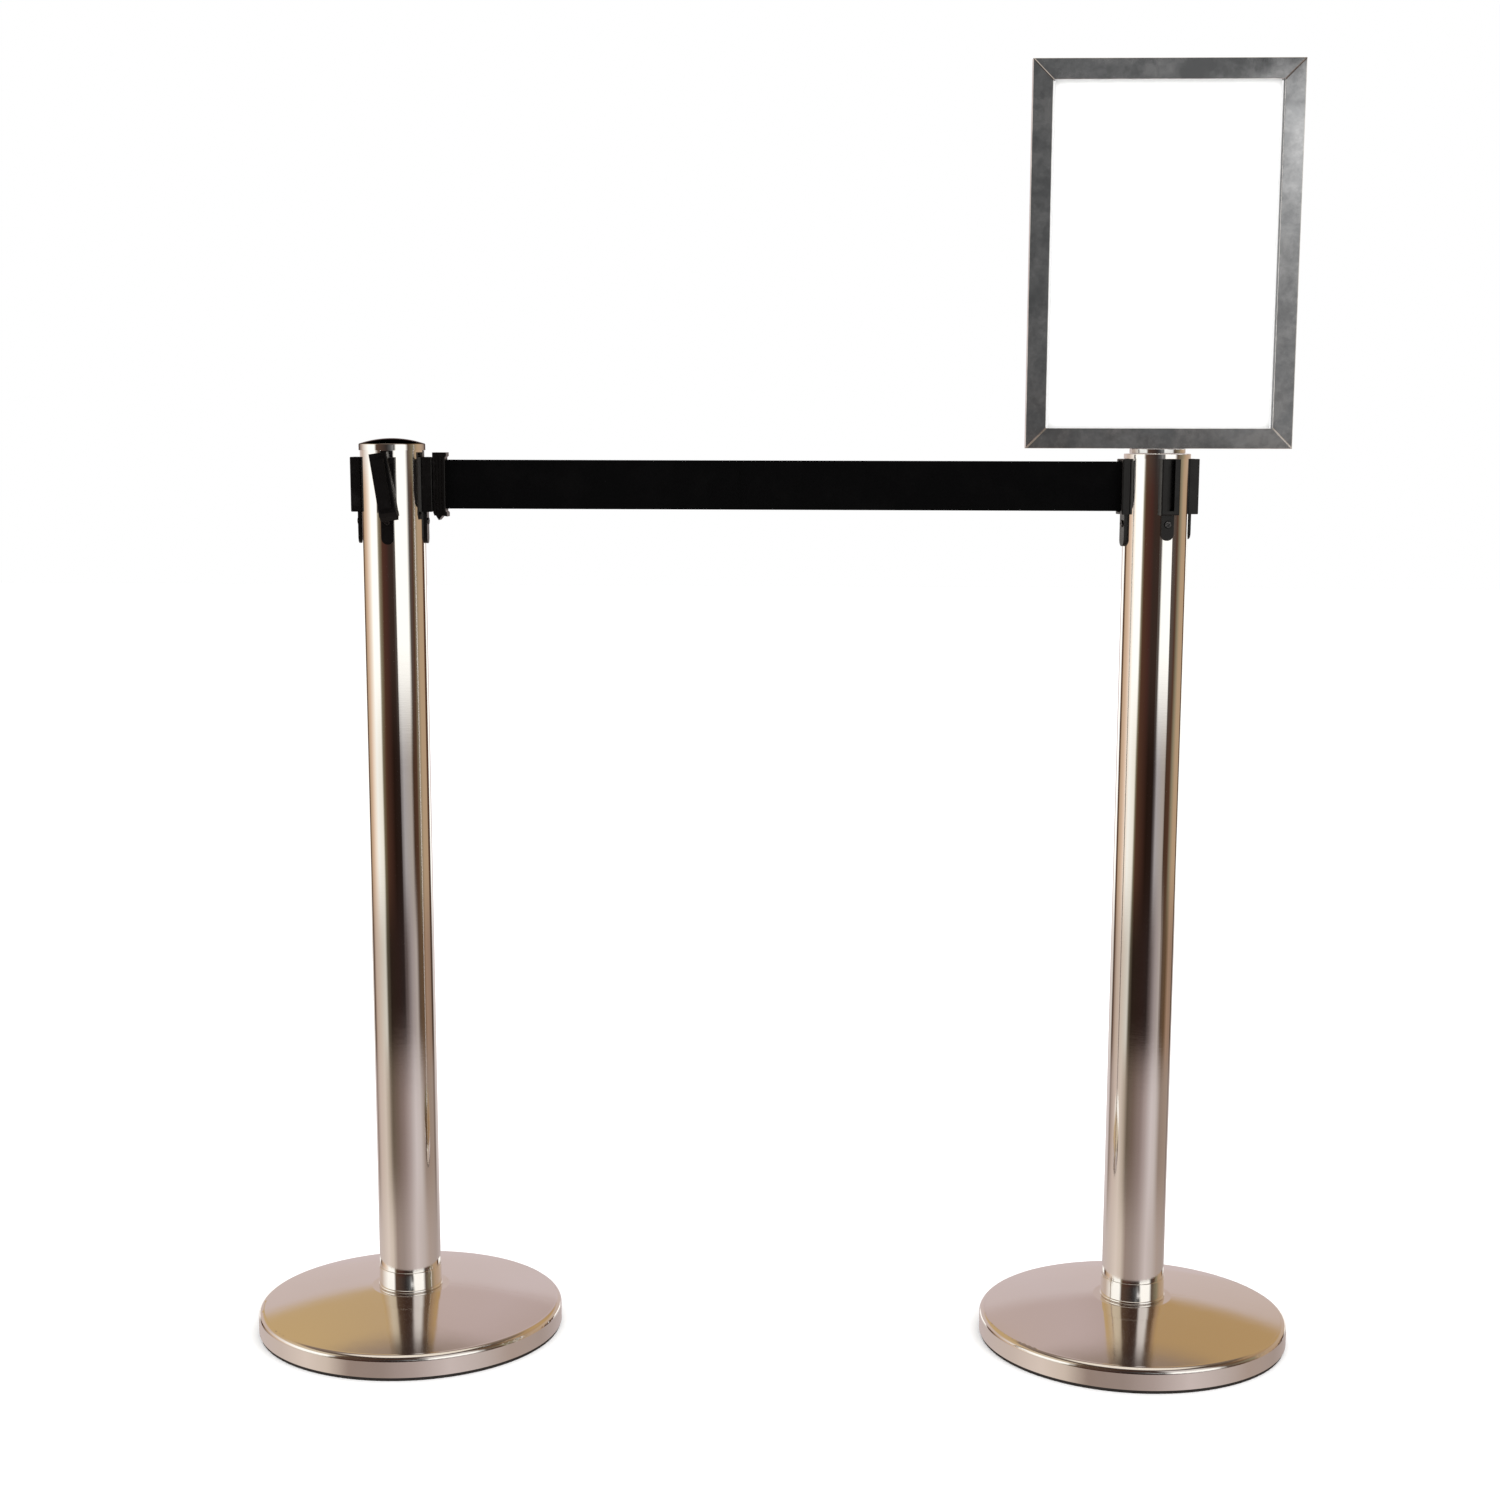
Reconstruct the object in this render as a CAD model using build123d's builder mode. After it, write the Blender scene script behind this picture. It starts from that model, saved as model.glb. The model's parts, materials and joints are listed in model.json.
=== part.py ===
"""Two retractable belt stanchions joined by one belt, with a sign frame on the right post.

Millimetres. The origin is on the floor midway between the post axes, +X runs from the left
post to the right post along the belt, the front faces -Y and +Z is up.
"""
import math
import os

from build123d import *

os.makedirs("parts", exist_ok=True)

# Posts
POST_SPACING = 751.0
TUBE_RADIUS = 31.5
TUBE_WALL = 1.0
GAP = 0.3  # clearance between pieces that move past each other
SNUG = 0.1  # clearance between pieces that are fixed to each other

# Base
BASE_RADIUS = 157.0
RIM_FOOT = 3.6
SHOULDER_HEIGHT = 26.0
EDGE_RADIUS = 6.0
CROWN_RADIUS = 40.0
CROWN_HEIGHT = 44.0
DOME_BULGE = 2.2  # how far the dome rises above a straight cone, at mid-radius
COVER_WALL = 1.2
RING_WIDTH = 19.0
RING_HEIGHT = 4.0
BOLT_RADIUS = 6.0
BOLT_HEAD_HEIGHT = 7.5
WASHER_RADIUS = 16.0
WASHER_HEIGHT = 2.5
RECESS_RADIUS = 20.0
RECESS_TOP = 16.0
POCKET_RADII = (30.0, 132.0)
POCKET_TOP = 20.0
PLUG_HEIGHT = 26.0
COLLAR_WALL = 0.8
COLLAR_HEIGHT = 22.0
BEAD_HEIGHT = 3.2
BEAD_DEPTH = 0.9

# Side plates of the post head, one in each slot of the tube
HEADINGS = (0, 90, 180, 270)
PLATE_WIDTH = 12.5
PLATE_BACK = 30.5
PLATE_FACE = 34.4
FLUSH_RADIUS = TUBE_RADIUS - 0.3  # outside of a plate above its block
OUTLET_TAIL_END = 814.0
SLOT_WIDTH = PLATE_WIDTH + 0.2
SCREW_HEIGHT = 836.0
SCREW_RADIUS = 2.0
SCREW_HEAD_RADIUS = 3.6
SCREW_HEAD_HEIGHT = 2.4

# T-slot blocks that take a belt clip
BLOCK_WIDTH = 18.6
BLOCK_FACE = 40.6
BLOCK_BOTTOM = 845.0
BLOCK_TOP = 898.5
SLOT_FLOOR = 849.0
CAVITY_BACK = 34.0
CAVITY_FACE = 38.1
CAVITY_WIDTH = 12.4
MOUTH_WIDTH = 7.6

# Belt and its outlet
BELT_WIDTH = 48.0
BELT_THICKNESS = 0.8
BELT_LENGTH = 2060.0
BELT_MIDDLE = 872.0
BELT_BOTTOM = BELT_MIDDLE - BELT_WIDTH / 2
BELT_TOP = BELT_MIDDLE + BELT_WIDTH / 2
OUTLET_FACE = 38.0
THROAT_BACK = 33.4
THROAT_FRONT = 34.8
THROAT_HALF = 1.6
PIN_ROOM_HALF = 4.2
FLARE_HALF = 4.6
GUIDE_PIN_RADIUS = 1.5
GUIDE_PIN_REACH = 30.8
GUIDE_PIN_OFFSET = 2.3

# Cassette inside the tube
CASSETTE_RADIUS = 30.2
CASSETTE_BOTTOM = 812.0
CASSETTE_TOP = 899.0
SPOOL_CHAMBER_RADIUS = 27.4
SPOOL_FLOOR = 845.0
SPRING_CHAMBER_RADIUS = 22.3
SPRING_CEILING = 840.0
SPRING_COVER_HEIGHT = 5.5
LID_HEIGHT = 2.4
SHAFT_RADIUS = 3.0
HUB_RADIUS = 8.0
ARBOR_RADIUS = 5.0
FLANGE_RADIUS = 26.6
FLANGE_HEIGHT = 1.8
RUNNING = 0.05  # radial clearance of a shaft that turns in a bore
SPRING_START = 6.0
SPRING_GROWTH = 1.0  # extra radius of each half turn
SPRING_HALF_TURNS = 15
SPRING_THICKNESS = 0.5
SPRING_HEIGHT = 18.0

# Caps
DOMED_CAP_RADIUS = 32.6
CAP_EDGE = 1.4
RIM_HEIGHT = 6.7
DOME_HEIGHT = 5.0
CAP_SKIRT = 2.4
FLAT_CAP_PLATE = 1.3
FLAT_CAP_RADIUS = 32.3
FLAT_CAP_BOTTOM = BLOCK_TOP + GAP

# Belt clip: u runs towards the tongue from the docking face, w runs up
CLIP_MIDDLE = 870.0
CLIP_HALF_WIDTH = 8.8
CLIP_DEPTH = 12.6
CLIP_FLANGE = 14.0
CLIP_TOP = 33.0
CLIP_FOOT = -28.5
CLIP_TIP = -33.0
CLIP_TIP_DEPTH = -5.6
CLIP_CHAMFER = 1.2
BELT_SLOT_FRONT = 3.2
BELT_SLOT_HALF = 3.0
BELT_SLOT_MOUTH_HALF = 5.4
GRIP_GROOVES = (-3.2, -6.2, -9.2)
CLIP_PIN_DEPTH = 6.5
CLIP_PIN_RADIUS = 1.5
TONGUE_BOTTOM = SLOT_FLOOR + GAP - CLIP_MIDDLE
TONGUE_TOP = 27.0
PARKED_TILT = 8.5

# Sign frame
SIGN_WIDTH = 258.0
SIGN_HEIGHT = 365.5
RAIL_WIDTH = 19.5
SIGN_DEPTH = 12.0
RAIL_WALL = 1.2
WINDOW_OVERLAP = 9.0
WINDOW_THICKNESS = 3.0
INSERT_WIDTH = 214.0
INSERT_HEIGHT = 360.0
INSERT_THICKNESS = 0.6
INSERT_SLOT = (218.0, 3.0)
KEY_WIDTH = 8.3
KEY_LEGS = (16.0, 30.0)
SIGN_FLANGE_RADIUS = 27.0
SIGN_FLANGE_HEIGHT = 4.5
MITRE_GROOVE = (0.8, 0.6)  # half width and depth
STUD_RADIUS = 4.0
SIGN_SCREW_RADIUS = 1.2

LEFT = {
    "name": "left",
    "x": -POST_SPACING / 2,
    "top": 905.0,
    "receiver_tail_end": 814.0,
    "turn": 0.0,
    "outlet": 270,
    "receivers": {"inner": 0, "back": 90, "outer": 180},
}
RIGHT = {
    "name": "right",
    "x": POST_SPACING / 2,
    "top": 902.0,
    "receiver_tail_end": 820.5,
    "turn": 13.0,
    "outlet": 180,
    "receivers": {"outer": 0, "back": 90, "front": 270},
}


def level(post, height, heading=0.0):
    """Horizontal plane on a post's axis, with x pointing out along a heading in degrees."""
    angle = math.radians(post["turn"] + heading)
    return Plane(
        origin=(post["x"], 0, height),
        x_dir=(math.cos(angle), math.sin(angle), 0),
        z_dir=(0, 0, 1),
    )


def side(post, heading, radius, height=0.0):
    """Upright plane that faces out of a post, at a radius from its axis and at a height."""
    angle = math.radians(post["turn"] + heading)
    outward = Vector(math.cos(angle), math.sin(angle), 0)
    return Plane(
        origin=Vector(post["x"], 0, height) + outward * radius,
        x_dir=(-outward.Y, outward.X, 0),
        z_dir=outward,
    )


def half_section(post):
    """Upright plane through a post's axis: x is the radius and y the height."""
    return Plane(origin=(post["x"], 0, 0), x_dir=(1, 0, 0), z_dir=(0, -1, 0))


def post_axis(post):
    return Axis((post["x"], 0, 0), (0, 0, 1))


def save(piece, name):
    """Label a finished piece and write it as its own STEP file."""
    piece.part.label = name
    export_step(piece.part, f"parts/{name}.step")


# Base of a post


def dome_section(post, inset):
    """Half section of the base's domed outline, drawn inset from the outer surface."""
    rim = BASE_RADIUS - inset
    shoulder = SHOULDER_HEIGHT - inset
    crown = CROWN_HEIGHT - inset
    edge = EDGE_RADIUS - inset
    middle = ((rim - edge + CROWN_RADIUS) / 2, (shoulder + crown) / 2 + DOME_BULGE)
    with BuildSketch(half_section(post)) as section:
        with BuildLine():
            Polyline((0, RIM_FOOT), (rim, RIM_FOOT), (rim, shoulder - edge))
            TangentArc((rim, shoulder - edge), (rim - edge, shoulder), tangent=(0, 1))
            ThreePointArc((rim - edge, shoulder), middle, (CROWN_RADIUS, crown))
            Polyline((CROWN_RADIUS, crown), (0, crown), (0, RIM_FOOT))
        make_face()
    return section.sketch


def base_cover(post):
    """Spun steel shell over the weight, with a hole for the anchor bolt."""
    outside = dome_section(post, 0)
    inside = dome_section(post, COVER_WALL)
    with BuildPart() as cover:
        revolve(outside, axis=post_axis(post))
        revolve(inside, axis=post_axis(post), mode=Mode.SUBTRACT)
        with Locations(level(post, CROWN_HEIGHT)):
            Hole(BOLT_RADIUS + 0.5)
    save(cover, f"{post['name']}_base_cover")


def base_weight(post):
    """Cast disc under the cover, hollow below, with a recess for the bolt's head and washer."""
    outside = dome_section(post, COVER_WALL + SNUG)
    with BuildPart() as weight:
        revolve(outside, axis=post_axis(post))
        with BuildSketch(level(post, 0)):
            Circle(BASE_RADIUS)
        extrude(amount=RING_HEIGHT + SNUG, mode=Mode.SUBTRACT)
        with BuildSketch(level(post, 0)):
            Circle(RECESS_RADIUS)
        extrude(amount=RECESS_TOP, mode=Mode.SUBTRACT)
        with BuildSketch(level(post, 0)):
            Circle(POCKET_RADII[1])
            Circle(POCKET_RADII[0], mode=Mode.SUBTRACT)
        extrude(amount=POCKET_TOP, mode=Mode.SUBTRACT)
        with Locations(level(post, CROWN_HEIGHT)):
            Hole(BOLT_RADIUS + 0.5)
    save(weight, f"{post['name']}_base_weight")


def base_ring(post):
    """Rubber floor ring inside the cover's rim, with a groove round its sole."""
    outer = BASE_RADIUS - COVER_WALL - GAP
    with BuildPart() as ring:
        with BuildSketch(level(post, 0)):
            Circle(outer)
            Circle(outer - RING_WIDTH, mode=Mode.SUBTRACT)
        extrude(amount=RING_HEIGHT)
        with BuildSketch(level(post, 0)):
            Circle(outer - RING_WIDTH / 2 + 1)
            Circle(outer - RING_WIDTH / 2 - 1, mode=Mode.SUBTRACT)
        extrude(amount=1.0, mode=Mode.SUBTRACT)
    save(ring, f"{post['name']}_base_ring")


def anchor_bolt(post):
    """Hexagon bolt from under the weight up into the plug of the tube."""
    head_bottom = RECESS_TOP - WASHER_HEIGHT - BOLT_HEAD_HEIGHT
    with BuildPart() as bolt:
        with BuildSketch(level(post, head_bottom)):
            RegularPolygon(BOLT_RADIUS * 1.75, 6)
        extrude(amount=BOLT_HEAD_HEIGHT)
        with BuildSketch(level(post, head_bottom + BOLT_HEAD_HEIGHT)):
            Circle(BOLT_RADIUS)
        extrude(amount=WASHER_HEIGHT + CROWN_HEIGHT - RECESS_TOP + PLUG_HEIGHT)
        chamfer(bolt.faces().sort_by(Axis.Z)[-1].edges(), 1.0)
        chamfer(bolt.faces().sort_by(Axis.Z)[0].edges(), 0.8)
    save(bolt, f"{post['name']}_anchor_bolt")


def anchor_washer(post):
    with BuildPart() as washer:
        with BuildSketch(level(post, RECESS_TOP - WASHER_HEIGHT)):
            Circle(WASHER_RADIUS)
            Circle(BOLT_RADIUS + 0.3, mode=Mode.SUBTRACT)
        extrude(amount=WASHER_HEIGHT - 0.05)
    save(washer, f"{post['name']}_anchor_washer")


def tube_plug(post):
    """Threaded cup pressed into the foot of the tube, where the anchor bolt ends."""
    outer = TUBE_RADIUS - TUBE_WALL - SNUG
    bottom = CROWN_HEIGHT + SNUG
    with BuildPart() as plug:
        with BuildSketch(level(post, bottom)):
            Circle(outer)
        extrude(amount=PLUG_HEIGHT)
        with BuildSketch(level(post, bottom + 8)):
            Circle(outer - 2.5)
            Circle(BOLT_RADIUS * 2, mode=Mode.SUBTRACT)
        extrude(amount=PLUG_HEIGHT, mode=Mode.SUBTRACT)
        with Locations(level(post, bottom + PLUG_HEIGHT)):
            Hole(BOLT_RADIUS + RUNNING)
    save(plug, f"{post['name']}_tube_plug")


def foot_collar(post):
    """Thin polished sleeve round the foot of the tube, with a rolled bead at its lower end."""
    inner = TUBE_RADIUS + RUNNING
    outer = inner + COLLAR_WALL
    bottom = CROWN_HEIGHT + SNUG
    with BuildPart() as collar:
        with BuildSketch(half_section(post)):
            with BuildLine():
                Polyline(
                    (outer, bottom + BEAD_HEIGHT),
                    (outer, bottom + COLLAR_HEIGHT),
                    (inner, bottom + COLLAR_HEIGHT),
                    (inner, bottom),
                    (outer, bottom),
                )
                ThreePointArc(
                    (outer, bottom),
                    (outer + BEAD_DEPTH, bottom + BEAD_HEIGHT / 2),
                    (outer, bottom + BEAD_HEIGHT),
                )
            make_face()
        revolve(axis=post_axis(post))
        fillet(collar.faces().sort_by(Axis.Z)[-1].outer_wire().edges(), 0.5)
    save(collar, f"{post['name']}_foot_collar")


# Tube and caps


def tail_end(post, heading):
    return OUTLET_TAIL_END if heading == post["outlet"] else post["receiver_tail_end"]


def tail_outline(plane, width, bottom, top):
    """Upright strip with a round lower end, drawn on a side plane."""
    radius = width / 2
    with BuildSketch(plane) as outline:
        with Locations((0, (bottom + radius + top) / 2)):
            Rectangle(width, top - bottom - radius)
        with Locations((0, bottom + radius)):
            Circle(radius)
    return outline.sketch


def tube(post):
    """Polished tube with four slots at its head, open at the top."""
    with BuildPart() as shell:
        with BuildSketch(level(post, CROWN_HEIGHT + SNUG)):
            Circle(TUBE_RADIUS)
            Circle(TUBE_RADIUS - TUBE_WALL, mode=Mode.SUBTRACT)
        extrude(amount=post["top"] - CROWN_HEIGHT - SNUG)
        for heading in HEADINGS:
            bottom = tail_end(post, heading) - SNUG
            slot = tail_outline(side(post, heading, 0), SLOT_WIDTH, bottom, post["top"] + 1)
            extrude(slot, amount=TUBE_RADIUS + 1, mode=Mode.SUBTRACT)
    save(shell, f"{post['name']}_tube")


def domed_cap(post):
    """Shallow domed cap a little wider than the tube, its skirt inside the tube."""
    skirt = TUBE_RADIUS - TUBE_WALL - SNUG
    skirt_bottom = post["top"] - CAP_SKIRT
    seat = post["top"] + SNUG
    rim_top = seat + RIM_HEIGHT
    apex = rim_top + DOME_HEIGHT
    reach = DOMED_CAP_RADIUS - CAP_EDGE
    dome_radius = (reach**2 + DOME_HEIGHT**2) / (2 * DOME_HEIGHT)
    middle = (reach / 2, apex - dome_radius + math.sqrt(dome_radius**2 - reach**2 / 4))
    with BuildPart() as cap:
        with BuildSketch(half_section(post)):
            with BuildLine():
                Polyline(
                    (0, skirt_bottom),
                    (skirt, skirt_bottom),
                    (skirt, seat),
                    (DOMED_CAP_RADIUS, seat),
                    (DOMED_CAP_RADIUS, rim_top - CAP_EDGE),
                )
                TangentArc(
                    (DOMED_CAP_RADIUS, rim_top - CAP_EDGE), (reach, rim_top), tangent=(0, 1)
                )
                ThreePointArc((reach, rim_top), middle, (0, apex))
                Line((0, apex), (0, skirt_bottom))
            make_face()
        revolve(axis=post_axis(post))
    save(cap, f"{post['name']}_top_cap")


def flat_cap(post):
    """Polished cap whose rim laps over the tube, with the stud on which the sign turns."""
    seat = post["top"] + SNUG
    with BuildPart() as cap:
        with BuildSketch(level(post, FLAT_CAP_BOTTOM)):
            Circle(FLAT_CAP_RADIUS)
        extrude(amount=seat + FLAT_CAP_PLATE - FLAT_CAP_BOTTOM)
        fillet(cap.faces().sort_by(Axis.Z)[-1].edges(), 0.6)
        with BuildSketch(level(post, FLAT_CAP_BOTTOM)):
            Circle(TUBE_RADIUS + SNUG)
        extrude(amount=seat - FLAT_CAP_BOTTOM, mode=Mode.SUBTRACT)
        with BuildSketch(level(post, seat)):
            Circle(STUD_RADIUS)
        extrude(amount=SIGN_BOTTOM - GAP - seat)
        chamfer(cap.faces().sort_by(Axis.Z)[-1].edges(), 0.5)
    save(cap, f"{post['name']}_top_cap")


# Cassette


def cassette_body(post):
    """Moulded drum: the spool's chamber above and the spring's chamber below."""
    with BuildPart() as body:
        with BuildSketch(level(post, CASSETTE_BOTTOM)):
            Circle(CASSETTE_RADIUS)
        extrude(amount=CASSETTE_TOP - CASSETTE_BOTTOM)
        with BuildSketch(level(post, SPOOL_FLOOR)):
            Circle(SPOOL_CHAMBER_RADIUS)
        extrude(amount=CASSETTE_TOP - SPOOL_FLOOR, mode=Mode.SUBTRACT)
        with BuildSketch(level(post, CASSETTE_BOTTOM)):
            Circle(SPRING_CHAMBER_RADIUS)
        extrude(amount=SPRING_CEILING - CASSETTE_BOTTOM, mode=Mode.SUBTRACT)
        with Locations(level(post, SPOOL_FLOOR)):
            Hole(ARBOR_RADIUS + GAP)
        with BuildSketch(level(post, BELT_BOTTOM - 1.5, post["outlet"])):
            with Locations((CASSETTE_RADIUS - 4, 0)):
                Rectangle(12, 14)
        extrude(amount=BELT_WIDTH + 3, mode=Mode.SUBTRACT)
        for heading in HEADINGS:
            with Locations(side(post, heading, CASSETTE_RADIUS, SCREW_HEIGHT)):
                Hole(SCREW_RADIUS + RUNNING, depth=6.5)
    save(body, f"{post['name']}_cassette_body")


def cassette_lid(post):
    with BuildPart() as lid:
        with BuildSketch(level(post, CASSETTE_TOP + SNUG)):
            Circle(CASSETTE_RADIUS)
            Circle(SHAFT_RADIUS + RUNNING, mode=Mode.SUBTRACT)
        extrude(amount=LID_HEIGHT)
        fillet(lid.faces().sort_by(Axis.Z)[-1].outer_wire().edges(), 0.6)
    save(lid, f"{post['name']}_cassette_lid")


def spring_cover(post):
    """Plug that closes the spring's chamber and holds the foot of the shaft."""
    with BuildPart() as cover:
        with BuildSketch(level(post, CASSETTE_BOTTOM)):
            Circle(SPRING_CHAMBER_RADIUS - SNUG)
            Circle(SHAFT_RADIUS + RUNNING, mode=Mode.SUBTRACT)
        extrude(amount=SPRING_COVER_HEIGHT)
        with BuildSketch(level(post, CASSETTE_BOTTOM)):
            with PolarLocations(SPRING_CHAMBER_RADIUS * 0.62, 6):
                Circle(4)
        extrude(amount=SPRING_COVER_HEIGHT - 2, mode=Mode.SUBTRACT)
    save(cover, f"{post['name']}_spring_cover")


def power_spring(post):
    """Flat spiral spring, half turn by half turn about two centres in alternation."""
    bottom = CASSETTE_BOTTOM + SPRING_COVER_HEIGHT + 2
    with BuildPart() as spring:
        with BuildSketch(level(post, bottom)):
            with BuildLine():
                for turn in range(SPRING_HALF_TURNS):
                    odd = turn % 2
                    CenterArc(
                        (odd * SPRING_GROWTH, 0),
                        SPRING_START + turn * SPRING_GROWTH,
                        180 * odd,
                        180,
                    )
            trace(line_width=SPRING_THICKNESS)
        extrude(amount=SPRING_HEIGHT)
    save(spring, f"{post['name']}_power_spring")


def spool_shaft(post):
    bottom = CASSETTE_BOTTOM + 0.5
    with BuildPart() as shaft:
        with BuildSketch(level(post, bottom)):
            Circle(SHAFT_RADIUS)
        extrude(amount=CASSETTE_TOP + LID_HEIGHT - bottom)
        chamfer(shaft.faces().sort_by(Axis.Z)[-1].edges(), 0.5)
    save(shaft, f"{post['name']}_spool_shaft")


def spool(post):
    """Spool with two flanges, and the arbor that the spring's inner end hooks into."""
    lower = SPOOL_FLOOR + 0.6
    upper = BELT_TOP + 0.6
    arbor_bottom = CASSETTE_BOTTOM + SPRING_COVER_HEIGHT + 1
    with BuildPart() as reel:
        with BuildSketch(level(post, arbor_bottom)):
            Circle(ARBOR_RADIUS)
        extrude(amount=lower - arbor_bottom)
        for height in (lower, upper):
            with BuildSketch(level(post, height)):
                Circle(FLANGE_RADIUS)
            extrude(amount=FLANGE_HEIGHT)
        with BuildSketch(level(post, lower)):
            Circle(HUB_RADIUS)
        extrude(amount=upper - lower)
        with Locations(level(post, upper + FLANGE_HEIGHT)):
            Hole(SHAFT_RADIUS + RUNNING)
    save(reel, f"{post['name']}_spool")


def roll_radius(belt_out):
    """Outer radius of the belt still wound on the hub when a length of it is out."""
    wound = BELT_LENGTH - belt_out
    return math.sqrt(HUB_RADIUS**2 + wound * BELT_THICKNESS / math.pi)


def belt_roll(post, belt_out):
    with BuildPart() as roll:
        with BuildSketch(level(post, BELT_BOTTOM)):
            Circle(roll_radius(belt_out))
            Circle(HUB_RADIUS + SNUG, mode=Mode.SUBTRACT)
        extrude(amount=BELT_WIDTH)
    save(roll, f"{post['name']}_belt_roll")


# Receivers and outlet


def tail_screw_hole(post, heading):
    """Place of the screw in the tail of a side plate."""
    return side(post, heading, PLATE_FACE, SCREW_HEIGHT)


def side_plate(post, heading):
    """Outline of a side plate, on the plane of its inner face."""
    back = side(post, heading, PLATE_BACK)
    return tail_outline(back, PLATE_WIDTH, tail_end(post, heading), post["top"] - 0.4)


def plate_relief(post):
    """Ring that is cut away above the block, so that the plate lies flush in its slot."""
    with BuildSketch(level(post, BLOCK_TOP)) as ring:
        Circle(TUBE_RADIUS * 1.5)
        Circle(FLUSH_RADIUS, mode=Mode.SUBTRACT)
    return ring.sketch


def receiver(post, name, heading):
    """Side plate with a T-slot block that takes the tongue of a belt clip."""
    block_depth = BLOCK_FACE - PLATE_BACK
    neck_depth = BLOCK_FACE - CAVITY_BACK
    with BuildPart() as holder:
        with BuildSketch(level(post, BLOCK_BOTTOM, heading)):
            with Locations((PLATE_BACK + block_depth / 2, 0)):
                Rectangle(block_depth, BLOCK_WIDTH)
        extrude(amount=BLOCK_TOP - BLOCK_BOTTOM)
        outward = Vector(side(post, heading, 0).z_dir)
        outer_face = holder.faces().sort_by(Axis((0, 0, 0), outward))[-1]
        fillet(outer_face.edges(), 1.2)
        with BuildSketch(level(post, BLOCK_BOTTOM)):
            Circle(TUBE_RADIUS + SNUG)
        extrude(amount=BLOCK_TOP - BLOCK_BOTTOM, mode=Mode.SUBTRACT)
        extrude(side_plate(post, heading), amount=PLATE_FACE - PLATE_BACK)
        extrude(plate_relief(post), amount=post["top"] - BLOCK_TOP, mode=Mode.SUBTRACT)
        with BuildSketch(level(post, SLOT_FLOOR, heading)):
            with Locations(((CAVITY_BACK + CAVITY_FACE) / 2, 0)):
                Rectangle(CAVITY_FACE - CAVITY_BACK, CAVITY_WIDTH)
            with Locations((CAVITY_BACK + neck_depth / 2 + 1, 0)):
                Rectangle(neck_depth + 2, MOUTH_WIDTH)
        extrude(amount=BLOCK_TOP - SLOT_FLOOR + 1, mode=Mode.SUBTRACT)
        with Locations(tail_screw_hole(post, heading)):
            CounterBoreHole(SCREW_RADIUS + RUNNING, SCREW_HEAD_RADIUS + SNUG, 1.2)
    save(holder, f"{post['name']}_receiver_{name}")


def belt_outlet(post):
    """Side plate with a flared slot through which the belt leaves the cassette."""
    heading = post["outlet"]
    block_depth = OUTLET_FACE - PLATE_BACK
    with BuildPart() as outlet:
        with BuildSketch(level(post, BLOCK_BOTTOM, heading)):
            with Locations((PLATE_BACK + block_depth / 2, 0)):
                Rectangle(block_depth, BLOCK_WIDTH)
        extrude(amount=BLOCK_TOP - BLOCK_BOTTOM)
        outward = Vector(side(post, heading, 0).z_dir)
        outer_face = outlet.faces().sort_by(Axis((0, 0, 0), outward))[-1]
        fillet(outer_face.edges(), 1.2)
        with BuildSketch(level(post, BLOCK_BOTTOM)):
            Circle(TUBE_RADIUS + SNUG)
        extrude(amount=BLOCK_TOP - BLOCK_BOTTOM, mode=Mode.SUBTRACT)
        extrude(side_plate(post, heading), amount=PLATE_FACE - PLATE_BACK)
        extrude(plate_relief(post), amount=post["top"] - BLOCK_TOP, mode=Mode.SUBTRACT)
        with BuildSketch(level(post, BELT_BOTTOM - 1.2, heading)):
            Polygon(
                (PLATE_BACK - 2, PIN_ROOM_HALF),
                (THROAT_BACK - 0.8, PIN_ROOM_HALF),
                (THROAT_BACK, THROAT_HALF),
                (THROAT_FRONT, THROAT_HALF),
                (OUTLET_FACE + 0.1, FLARE_HALF),
                (OUTLET_FACE + 0.1, -FLARE_HALF),
                (THROAT_FRONT, -THROAT_HALF),
                (THROAT_BACK, -THROAT_HALF),
                (THROAT_BACK - 0.8, -PIN_ROOM_HALF),
                (PLATE_BACK - 2, -PIN_ROOM_HALF),
                align=None,
            )
        extrude(amount=BELT_WIDTH + 2.4, mode=Mode.SUBTRACT)
        with Locations(tail_screw_hole(post, heading)):
            CounterBoreHole(SCREW_RADIUS + RUNNING, SCREW_HEAD_RADIUS + SNUG, 1.2)
    save(outlet, f"{post['name']}_belt_outlet")


def guide_pins(post):
    """Two upright pins that turn the belt out of the slot."""
    with BuildPart() as pins:
        with BuildSketch(level(post, BELT_BOTTOM - 1.1, post["outlet"])):
            with Locations((GUIDE_PIN_REACH, GUIDE_PIN_OFFSET), (GUIDE_PIN_REACH, -GUIDE_PIN_OFFSET)):
                Circle(GUIDE_PIN_RADIUS)
        extrude(amount=BELT_WIDTH + 2.2)
    save(pins, f"{post['name']}_guide_pins")


def tail_screws(post):
    """Four pan-head screws with a cross recess, one in each tail."""
    with BuildPart() as screws:
        for heading in HEADINGS:
            seat = side(post, heading, PLATE_FACE - 1.2, SCREW_HEIGHT)
            with BuildSketch(seat):
                Circle(SCREW_HEAD_RADIUS)
            extrude(amount=SCREW_HEAD_HEIGHT, taper=12)
            with BuildSketch(seat.offset(SCREW_HEAD_HEIGHT)):
                Rectangle(3.6, 0.9, rotation=20)
                Rectangle(3.6, 0.9, rotation=110)
            extrude(amount=-1.2, mode=Mode.SUBTRACT)
            with BuildSketch(seat):
                Circle(SCREW_RADIUS)
            extrude(amount=-9.0)
    save(screws, f"{post['name']}_tail_screws")


# Belt and clip


def unit(angle):
    """Horizontal unit vector at an angle in radians."""
    return Vector(math.cos(angle), math.sin(angle), 0)


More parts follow.
